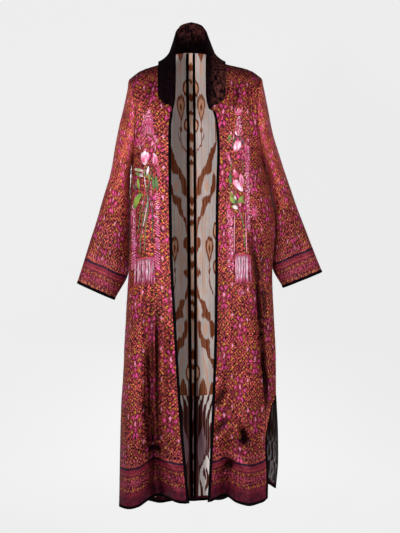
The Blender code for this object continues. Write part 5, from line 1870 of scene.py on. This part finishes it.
def petal(side, base, tip, half, lift, tints, blunt=0.6):
    """One raised petal or leaf in satin stitch. half and lift are in millimetres."""
    lift = lift / 1000
    path, out = onto(side, rounded((base, tip), 9), PETAL_FLAT * 0.5 + lift)
    return [lay_grain(PETAL, path, out, half / 1000, PETAL_FLAT, tints, blunt)]


def ladder(side, low, high, step, rise, half, tints):
    """Slanting stitches between two rails: low and high are corners of the band they fill."""
    laid = []
    top, bottom = high[1], low[1]
    for number, z in enumerate(np.arange(bottom, top, step)):
        tint = tints[number % len(tints)]
        ends = ((low[0], z - rise / 2), (high[0], z + rise / 2))
        laid += stitches(side, ends, half, (tint, "blush", tint), 6.5, 1.2)
    return laid


def join_laid(name, laid, replaced=()):
    leave_only(laid[0])
    for part in laid:
        part.select_set(True)
    bpy.ops.object.join()
    piece = bpy.context.object
    piece.name = piece.data.name = name
    return finish_piece(piece, floss, replaced)


# Raised flowers by the solid that they stand for: base, tip, half width, lift and tints, in millimetres
RAISED = {
    "tulip_right_upper": (
        ((-156, -314), (-164, -276), 7.4, 0.6, "white pink pale white"),
        ((-153, -314), (-146, -276), 7.4, 0.6, "white pink pale white"),
        ((-154.6, -317), (-154.6, -271), 9.6, 1.6, "white rose pink white white"),
        ((-158.6, -315), (-159.4, -283), 3.4, 2.6, "white pale pink"),
        ((-150.6, -315), (-150.2, -283), 3.4, 2.6, "white pale pink"),
        ((-154, -274), (-153, -264), 2.2, 0.6, "pale pink"),
    ),
    "tulip_right_lower": (
        ((-125.5, -318), (-131, -290), 5.6, 0.6, "rose pink rose"),
        ((-123.5, -318), (-118, -289), 5.6, 0.6, "rose pink rose"),
        ((-124.5, -319.5), (-125, -287), 6.4, 1.4, "rose magenta pale"),
        ((-127.0, -314), (-128, -293), 1.6, 2.6, "pale white"),
        ((-125, -291), (-127, -280), 2.2, 2.0, "white white"),
        ((-125, -290), (-117.5, -291), 2.2, 2.0, "white white"),
        ((-124, -290), (-120.5, -283), 1.7, 2.0, "white pale"),
    ),
    "rose_left_upper": (
        ((113.5, -278), (126, -240), 8.6, 0.6, "pink pink pale rose"),
        ((119, -277), (132, -243), 8.0, 1.4, "rose pale white pink"),
        ((115.5, -276), (116.5, -253), 4.6, 2.4, "pink white pale"),
        ((125, -272), (130.5, -248), 3.6, 2.6, "pale white white"),
        ((132, -264), (139, -259), 2.6, 1.0, "rose pink"),
    ),
    "rose_left_middle": (
        ((120.5, -357), (112, -331), 5.4, 0.8, "rose rose pale"),
        ((122.5, -356), (119, -336), 4.4, 1.2, "rose magenta rose"),
        ((116.5, -340), (112, -330), 2.4, 2.2, "pale white"),
    ),
    "rose_left_lower": (
        ((139, -393), (109.5, -361), 9.2, 0.6, "pale pink pale pink"),
        ((139, -380), (132.5, -342), 6.6, 0.8, "rose pale pink"),
        ((138, -375), (134, -351), 2.8, 2.2, "rose magenta rose"),
        ((117, -364), (139.5, -397), 8.4, 1.8, "white pale white pale"),
        ((126, -374), (117, -361), 4.0, 2.8, "pink white"),
        ((136, -388), (131, -371), 3.0, 3.0, "pale rose"),
    ),
}
# Leaves and small petals: base, tip, half width and tints
LEAVES = {
    RIGHT: (
        ((-158, -333.5), (-190, -324), 3.9, "white lime white"),
        ((-159.5, -350), (-185, -337), 4.2, "white green lime"),
        ((-148.5, -352), (-143.8, -318), 3.3, "green white white"),
        ((-154, -352), (-158, -333), 2.2, "green lime"),
        ((-172, -389), (-178.4, -352), 4.4, "green lime lime"),
        ((-181, -390), (-193, -369), 3.0, "dark green"),
        ((-126.7, -394), (-131.5, -345), 3.0, "green green dark"),
        ((-140, -366), (-143.5, -341), 2.6, "green lime"),
        ((-116.5, -397), (-122, -348), 4.2, "dark green green"),
        ((-165.5, -398), (-190.5, -447), 10.5, "green lime green"),
    ),
    LEFT: (
        ((105.5, -374), (97, -356), 3.2, "green green"),
        ((103.5, -364), (104.5, -345), 2.6, "dark green"),
        ((113, -414), (99.5, -398), 3.0, "green lime"),
        ((116, -436), (100, -410), 4.8, "green lime lime"),
        ((117, -428), (115.5, -409), 3.2, "lime white"),
        ((124, -432), (141, -409), 4.6, "green lime green"),
        ((133, -430), (143, -422), 3.0, "lime green"),
        ((121.5, -437), (112, -414), 2.8, "dark green"),
        ((124.5, -448.5), (107, -439), 4.6, "white white lime"),
        ((105, -234), (96, -229), 3.4, "green lime"),
        ((101.5, -239), (93, -236), 3.4, "green green"),
        ((104, -241), (108.5, -236), 3.2, "green lime"),
        ((99, -243), (97, -249.5), 3.4, "lime green"),
        ((100.5, -238.5), (104, -242.5), 2.8, "pink rose"),
    ),
}
# Small flowers: middle, half width, number of petals and tints
FLOWERS = {
    RIGHT: (((-165.5, -222.5), 7.5, 6, "rose pink"), ((-126.3, -231.5), 4.2, 5, "rose white")),
    LEFT: (
        ((174.2, -458.0), 13.5, 11, "rose pink magenta", 1.7),
        ((90, -283.5), 5.4, 5, "magenta pink"),
        ((129, -173.5), 4.6, 6, "white pale"),
        ((131, -697), 5.6, 5, "magenta rose"),
        ((140.5, -700.5), 4.6, 5, "rose pale"),
    ),
}
# Couched strands: half width, tints and points
CORDS = {
    RIGHT: (
        (1.0, "grey white grey", ((-154.6, -318), (-155.5, -357.7), (-150.3, -398))),
        (1.1, "grey grey", ((-150.3, -398), (-161.8, -432.5), (-170.5, -472.8), (-177.5, -524.5))),
        (1.0, "dark grey", ((-133.1, -320), (-135.9, -346.2), (-148.9, -392.2))),
        (1.1, "grey green", ((-148.9, -392), (-146, -421), (-157.5, -455.5), (-166.2, -515.9))),
        (1.1, "green grey", ((-166.2, -514), (-169.5, -550), (-170.5, -585))),
        (1.1, "grey white", ((-149, -396), (-146.5, -421), (-153.5, -467), (-161.5, -505))),
        (1.1, "grey green", ((-144.6, -404), (-144.6, -444), (-151.8, -490), (-157.5, -585))),
        (1.2, "dark dark", ((-145.5, -402), (-133.1, -440), (-131, -487.1), (-134.5, -552))),
        (1.0, "dark grey", ((-131, -330), (-140, -366), (-147, -398))),
        (0.8, "white white", ((-168, -404), (-179, -423), (-188, -441))),
        (0.9, "pale white", ((-190.5, -430), (-196.5, -437), (-190, -448))),
        (1.2, "pink pale", ((-145.8, -190), (-146, -208), (-145.7, -223))),
        (1.2, "pale pink", ((-153.5, -196), (-154, -212), (-155.4, -226))),
        (1.3, "pale dusty", ((-140.4, -196), (-138.8, -212), (-139.5, -227))),
        (1.8, "rose magenta", ((-136, -200), (-133.2, -214), (-132.5, -228))),
        (1.3, "pink rose", ((-131, -201), (-129, -214), (-127.5, -224))),
        (1.4, "pink rose pink", ((-152.5, -224), (-166, -242), (-184, -258.5))),
        (1.2, "pink rose", ((-170, -223), (-174.5, -236), (-180, -248))),
        (1.1, "rose pink", ((-146, -229), (-158, -244), (-166, -256))),
        (1.2, "pale pink", ((-147, -227), (-143, -232), (-137, -236))),
        (1.2, "pink rose pale", ((-138, -233), (-130, -246), (-124, -256), (-123.5, -276))),
        (1.1, "pale dusty", ((-116, -237), (-120, -246), (-124.5, -253))),
        (1.0, "dusty white", ((-174, -251), (-171, -259), (-170, -267))),
        (1.0, "pale white", ((-190, -444), (-192, -470), (-190, -497))),
    ),
    LEFT: (
        (1.0, "dark green dark", ((106.5, -291), (104.5, -328), (99.5, -352), (103, -395), (104, -410))),
        (1.0, "dark grey", ((113.5, -383), (114, -398), (119.5, -421), (124.5, -446))),
        (1.2, "green grey", ((122.5, -446), (131, -461), (138.5, -484.5), (142.5, -516))),
        (1.2, "grey green green", ((142.5, -514), (144.5, -542), (147, -566))),
        (1.0, "dark dark", ((138.5, -290), (139, -320), (140, -342))),
        (1.4, "dark grey", ((126, -230), (116, -238), (109.5, -254), (106, -268))),
        (1.4, "grey dark", ((126, -231), (136, -239), (142, -250), (148, -259))),
        (1.0, "pale dusty", ((114.5, -462), (114, -500), (113.5, -530), (114.5, -587))),
        (1.0, "pink pale", ((146.5, -452), (149, -500), (150, -540), (151.5, -585))),
        (2.0, "magenta pink", ((118.5, -138), (116.7, -150), (121.5, -167))),
        (2.0, "pink rose", ((138.5, -142), (134.5, -156), (126, -165.5))),
        (1.5, "rose pink", ((127, -146), (126, -156), (124, -166))),
        (1.5, "pink pale", ((128, -205), (126.5, -215), (128.5, -227))),
        (2.0, "white white", ((116.5, -215), (119, -222), (123, -227.5))),
        (1.3, "rose pink", ((136, -204), (137, -216), (136, -228))),
        (1.3, "magenta rose", ((121.5, -205), (118, -214), (112, -224))),
        (1.2, "pale dusty", ((113, -226), (111, -233), (112.5, -242))),
        (1.2, "pink pale", ((131, -231), (140, -246), (152, -260), (159, -257))),
        (2.6, "rose pink pale", ((94, -284), (98, -294), (99.5, -306))),
    ),
}
# Chains of knots: half width, tints and points
CHAINS = {
    RIGHT: (
        (1.8, "blush pink", ((-144.4, -148), (-143.5, -163))),
        (1.9, "pink rose pale", ((-151, -165), (-143, -169), (-133, -164))),
        (1.8, "magenta pink", ((-153, -172), (-143, -175), (-134, -171))),
        (1.9, "rose pale pink", ((-157, -181), (-146, -178), (-133, -180))),
        (1.9, "pink rose blush", ((-163.5, -191), (-150, -186), (-131, -189.5))),
        (1.7, "pale pink", ((-144.4, -150), (-152, -166), (-164.5, -191))),
        (1.7, "blush rose", ((-143.5, -150), (-135, -166), (-129.5, -191))),
        (1.8, "pink blush rose", ((-164.5, -191), (-160, -203), (-167, -213))),
        (1.7, "rose pink", ((-148, -194), (-150, -206), (-149, -219))),
        (1.7, "magenta rose", ((-142, -193), (-142.5, -206), (-142, -221))),
        (1.4, "pale pale", ((-159, -163.5), (-157, -166))),
        (1.9, "rose pink", ((-123, -322), (-115.5, -335), (-114, -352))),
        (1.8, "pink rose", ((-117, -318), (-110, -334), (-109.5, -352))),
        (1.8, "pink pale rose", ((-137, -366), (-135.5, -384), (-136.5, -407))),
        (1.8, "pink blush rose", ((-186, -446), (-186.5, -470), (-185, -497))),
        (1.9, "rose pink", ((-196, -448), (-198, -475), (-197, -497))),
        (1.8, "rose magenta", ((-191.5, -450), (-192, -475), (-191, -497))),
        (1.8, "pale rose", ((-122, -447), (-117.5, -456), (-118.5, -468))),
    ),
    LEFT: (
        (1.6, "pale blush magenta", ((124.5, -173), (123, -184), (130, -190), (137, -183))),
        (1.8, "blush pale rose", ((118, -192), (128, -196), (137, -206), (131, -214))),
        (1.8, "pink magenta", ((133, -190), (122, -198), (116, -208), (124, -216))),
        (1.5, "pink pale", ((139.5, -243), (146, -256), (153, -266), (161, -259))),
        (1.5, "blush pink", ((136, -270), (143, -283), (148, -298))),
        (1.8, "blush pink rose", ((148, -306), (157, -318), (149, -330), (158, -342), (150, -354))),
        (1.8, "magenta pink", ((158, -306), (149, -318), (158, -330), (150, -342), (159, -354))),
        (1.8, "pale pink", ((150, -354), (159, -366), (151, -379), (160, -392), (152, -404))),
        (1.7, "magenta blush", ((159, -354), (151, -366), (160, -379), (152, -392), (161, -404))),
        (1.5, "pink blush", ((164, -360), (168, -374), (163, -388), (169, -402))),
        (1.8, "pale rose blush", ((152, -404), (160, -418), (152, -432), (159, -446), (152, -460))),
        (1.7, "rose pink", ((161, -404), (153, -418), (160, -432), (152, -446), (159, -460))),
        (1.7, "blush pink", ((152, -460), (158, -474), (152, -488), (158, -500), (161, -516))),
        (1.6, "rose magenta", ((159, -460), (152, -474), (159, -488), (154, -500))),
        (2.0, "rose pink", ((105, -456), (111, -464), (106, -475), (99, -466), (105, -456))),
        (1.6, "pale blush", ((94, -456), (92, -470), (96, -484), (93, -498))),
        (1.9, "blush rose", ((104, -482), (110, -490), (104, -500), (98, -491), (104, -482))),
        (2.0, "pink pale rose", ((103, -507), (110, -516), (104, -528), (96, -517), (103, -507))),
        (1.9, "rose magenta", ((103, -534), (110, -542), (104, -552), (97, -543), (103, -534))),
        (1.9, "blush rose pink", ((108, -558), (114, -567), (108, -577), (101, -568), (108, -558))),
        (2.0, "magenta rose", ((97, -562), (92, -574), (98, -584), (106, -590))),
        (1.8, "rose blush", ((112, -582), (106, -592), (111, -604), (106, -616))),
        (1.7, "magenta rose", ((92, -588), (95, -600), (101, -610))),
        (1.6, "rose pink", ((99, -436), (96, -447), (98, -456))),
        (1.7, "magenta pink", ((122, -690), (128, -704), (136, -712))),
    ),
}
# Slanting stitches between two rails: low corner, high corner, step, rise, half width and tints
LADDERS = {
    RIGHT: (
        ((-198, -534), (-184, -500), 7.6, 9, 1.6, "pink blush"),
        ((-198, -570), (-185, -541), 5.4, 3, 2.1, "rose magenta pink"),
        ((-199, -627), (-184, -575), 7.6, 10, 1.7, "pink blush"),
        ((-124.5, -444), (-108.5, -402), 6.6, 7, 1.4, "pink rose"),
        ((-124, -488), (-111.5, -474), 5.2, -3, 2.0, "rose magenta"),
        ((-124, -526), (-109.5, -494), 7.6, -10, 1.6, "pink blush"),
        ((-124, -566), (-111, -534), 5.4, -4, 2.0, "magenta rose blush"),
        ((-125, -625), (-109, -577), 7.6, -11, 1.7, "blush pink"),
    ),
    LEFT: (
        ((146, -300), (161, -262), 7.4, 5, 1.7, "magenta rose"),
        ((165, -352), (172, -330), 7.4, -5, 1.5, "magenta pink"),
    ),
}
# Strewn knots: their line, half width of the band, how many, half width of a knot and tints
STREWN = {
    RIGHT: (
        (((-144.6, -150), (-144.6, -168)), 6, 24, 1.4, "pink white rose"),
        (((-152, -174), (-137, -174)), 7, 34, 1.4, "rose pink white magenta"),
        (((-158, -190), (-132, -190)), 8, 60, 1.4, "rose pink magenta rose"),
        (((-163, -207), (-129, -207)), 8, 60, 1.4, "magenta rose magenta"),
        (((-160, -216), (-179, -252)), 4, 17, 1.3, "pink rose"),
        (((-133, -216), (-118, -248)), 4, 19, 1.3, "rose pink pale"),
        (((-117, -306), (-113, -350)), 4, 25, 1.4, "rose pink magenta"),
        (((-137, -388), (-136, -414)), 3, 12, 1.4, "rose pink"),
        (((-122, -400), (-113, -460)), 5, 37, 1.4, "pink white rose"),
        (((-120, -462), (-114, -572)), 5, 62, 1.4, "rose magenta white rose magenta"),
        (((-193, -452), (-192, -620)), 5, 75, 1.4, "rose magenta white rose"),
    ),
    LEFT: (
        (((122, -153), (132, -153)), 7, 47, 1.5, "rose magenta pink rose white"),
        (((128, -170), (126, -222)), 7, 76, 1.4, "white pink rose magenta"),
        (((150, -250), (156, -298)), 6, 52, 1.4, "dusty pink magenta rose"),
        (((153, -298), (153, -436)), 7, 160, 1.4, "pink magenta white rose magenta"),
        (((155, -436), (159, -520)), 5, 68, 1.4, "rose magenta white magenta"),
        (((95, -284), (99, -306)), 5, 21, 1.4, "magenta pink"),
        (((94, -430), (101, -470)), 6, 48, 1.5, "rose pink magenta"),
        (((102, -470), (104, -560)), 6, 90, 1.5, "rose white pink magenta"),
        (((102, -560), (103, -640)), 8, 84, 1.5, "rose pink magenta white rose"),
        (((130, -692), (142, -706)), 6, 22, 1.4, "rose magenta pale"),
    ),
}
# Fringes, in millimetres: the ends of the head, and the strands' lengths there
FRINGES = {
    RIGHT: ((-185, -603), (-126.5, -594), 76, 84),
    LEFT: ((115.5, -586), (161, -588), 90, 88),
}
FRINGE_STRANDS = 36
HEAD_HALF = 1.5
# Tints of a strand, from its head down
FRINGE_TINTS = (
    "rose pale dusty white pale dusty white pink rose",
    "pale white pale dusty white pale dusty rose magenta",
    "rose magenta rose dusty magenta rose dusty rose magenta",
    "pink dusty white pale white dusty pale rose rose",
    "magenta rose magenta rose dusty rose magenta magenta magenta",
)


def fringe(side):
    """A knotted head and two layers of hanging strands."""
    chance = np.random.default_rng(11 + side)
    start, end, first, last = FRINGES[side]
    start, end = np.array(start, float), np.array(end, float)
    laid = []
    for number in range(FRINGE_STRANDS):
        share = (number + 0.5 + chance.uniform(-0.3, 0.3)) / FRINGE_STRANDS
        head = start + (end - start) * share + (0, 1.8 * math.sin(math.pi * share))
        length = first + (last - first) * share + chance.uniform(-5, 4)
        sway = chance.normal(0, 1.3, 3).cumsum()
        drops = np.array((0.0, 0.3, 0.65, 1.0)) * length
        line = np.column_stack((head[0] + np.array((0, *sway)), head[1] - drops))
        lift = 0.0022 + 0.0020 * (number % 2) + chance.uniform(0, 0.0008)
        path, out = onto(side, rounded(line, CORD_STEPS), lift)
        tints = FRINGE_TINTS[chance.integers(len(FRINGE_TINTS))].split()
        laid.append(lay_grain(CORD, path, out, chance.uniform(0.0007, 0.0012), 0.0010, tints, 0.3))
    spread = np.linspace(-0.01, 1.01, 7)
    arch = [start + (end - start) * t + (0, 2.6 * math.sin(math.pi * t)) for t in spread]
    laid += cord(side, arch, HEAD_HALF, ("rose", "red", "rose"), 0.0038)
    laid += beads(side, [spot - (0, 2.4) for spot in arch], HEAD_HALF, ("rose", "red", "pink"))
    return laid


def small_flower(side, middle, half, count, tints, tall=1.0):
    """Rays of stitches round a middle. tall makes the upright ones longer."""
    laid = []
    for number in range(count):
        turn = 2 * math.pi * number / count + 0.4
        tip = (middle[0] + half * math.sin(turn), middle[1] + half * tall * math.cos(turn))
        laid += stitches(side, (middle, tip), half * 0.095 + 0.4, tints, half * 0.45, 1.2)
    return laid + stitches(side, (middle, (middle[0] + 0.5, middle[1])), half * 0.25, (tints[-1],), 0.5, 3)


LEAF_WIDER = 1.3
LEAF_LIFT = 0.2
CORD_WIDER = 1.3
for name, petals in RAISED.items():
    side = RIGHT if "right" in name else LEFT
    laid = []
    for base, tip, half, lift, tints in petals:
        laid += petal(side, base, tip, half, lift, tints.split())
    join_laid(f"silk_{name}", laid, (name,))

for side, word in WORDS.items():
    laid = []
    for base, tip, half, tints in LEAVES[side]:
        laid += petal(side, base, tip, half * LEAF_WIDER, LEAF_LIFT, tints.split(), 0.75)
    for middle, half, count, tints, *tall in FLOWERS[side]:
        laid += small_flower(side, middle, half, count, tints.split(), *tall)
    join_laid(f"silk_leaves_{word}", laid)
    laid = []
    for half, tints, points in CORDS[side]:
        laid += cord(side, points, half * CORD_WIDER, tints.split())
    join_laid(f"silk_stems_{word}", laid)
    laid = []
    for half, tints, points in CHAINS[side]:
        laid += beads(side, points, half, tints.split())
    for *row, tints in STREWN[side]:
        laid += strewn(side, *row, tints.split())
    for *row, tints in LADDERS[side]:
        laid += ladder(side, *row, tints.split())
    join_laid(f"silk_chains_{word}", laid)
    join_laid(f"silk_fringe_{word}", fringe(side), (f"fringe_{word}",))
for model in (BEAD, CORD, PETAL):
    bpy.data.objects.remove(model)

# ---------------------------------------------------------------- floor, light and camera

FLOOR_Z = -1.60
FLOOR_SIDE = 16
BEND_START = 2.0
AIM = (0, 0, -0.65)
# Name, place, size and power in watts
LIGHTS = (
    ("key", (-1.0, -3.6, -0.5), 0.3, 92),
    ("side", (-3.3, -2.0, 0.1), 0.5, 104),
    ("front", (0.6, -4.2, 0.0), 0.8, 32),
    ("right", (2.8, -2.6, 0.5), 0.8, 104),
    ("top", (0.2, -0.9, 2.4), 1.4, 5),
    ("back", (0.0, 2.8, -0.3), 0.5, 45),
)
# The brightness of the room behind all: what is added in plain view, and what lights the robe
ROOM_SEEN = 0.80
ROOM_LIT = 0.06
CAMERA_PLACE = (0.0109, -3.6, -0.6216)
SENSOR_WIDTH = 36
# The distance to the picture plane and the picture's height, both in pixels
FOCAL_PIXELS = 1161
PICTURE_HEIGHT = 533


def stage_sweep():
    """A pale floor that curves up into a backdrop well behind the robe."""
    bpy.ops.mesh.primitive_grid_add(x_subdivisions=2, y_subdivisions=40, size=1)
    sweep = bpy.context.object
    sweep.name = sweep.data.name = "floor and backdrop"
    for vertex in sweep.data.vertices:
        along = (vertex.co.y + 0.5) * FLOOR_SIDE - FLOOR_SIDE / 2
        bend = min(max(along - BEND_START, 0), math.pi / 2)
        rise = max(along - BEND_START - math.pi / 2, 0)
        back = min(along, BEND_START) + math.sin(bend)
        vertex.co = (vertex.co.x * FLOOR_SIDE, back, FLOOR_Z + 1 - math.cos(bend) + rise)
    leave_only(sweep)
    bpy.ops.object.shade_smooth()
    sweep.data.materials.append(paper)
    sweep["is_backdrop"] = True


def soft_light(name, place, size, power):
    bpy.ops.object.light_add(type="AREA", location=place)
    lamp = bpy.context.object
    lamp.name = name
    lamp.data.size = size
    lamp.data.energy = power
    lamp.visible_camera = False
    lamp.rotation_euler = (Vector(AIM) - Vector(place)).to_track_quat("-Z", "Y").to_euler()


stage_sweep()
for light in LIGHTS:
    soft_light(*light)
world = bpy.data.worlds.new("room")
world.use_nodes = True
room = Recipe(world.node_tree)
world.node_tree.nodes["Background"].inputs["Color"].default_value = (1, 1, 1, 1)
plain_view = room.node("ShaderNodeLightPath")
room.feed(world.node_tree.nodes["Background"].inputs["Strength"], plain_view * ROOM_SEEN + ROOM_LIT)
bpy.context.scene.world = world
bpy.context.scene.view_settings.view_transform = "Standard"

bpy.ops.object.camera_add(location=CAMERA_PLACE, rotation=(math.pi / 2, 0, 0))
camera = bpy.context.object
camera.name = "camera"
camera.data.sensor_fit = "AUTO"
camera.data.sensor_width = SENSOR_WIDTH
camera.data.lens = FOCAL_PIXELS / PICTURE_HEIGHT * SENSOR_WIDTH
bpy.context.scene.camera = camera

# ---------------------------------------------------------------- sizes of the sheets and bounds of the scene

for name, piece in {**panels, **linings}.items():
    declare(sheets[name])

low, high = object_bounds()
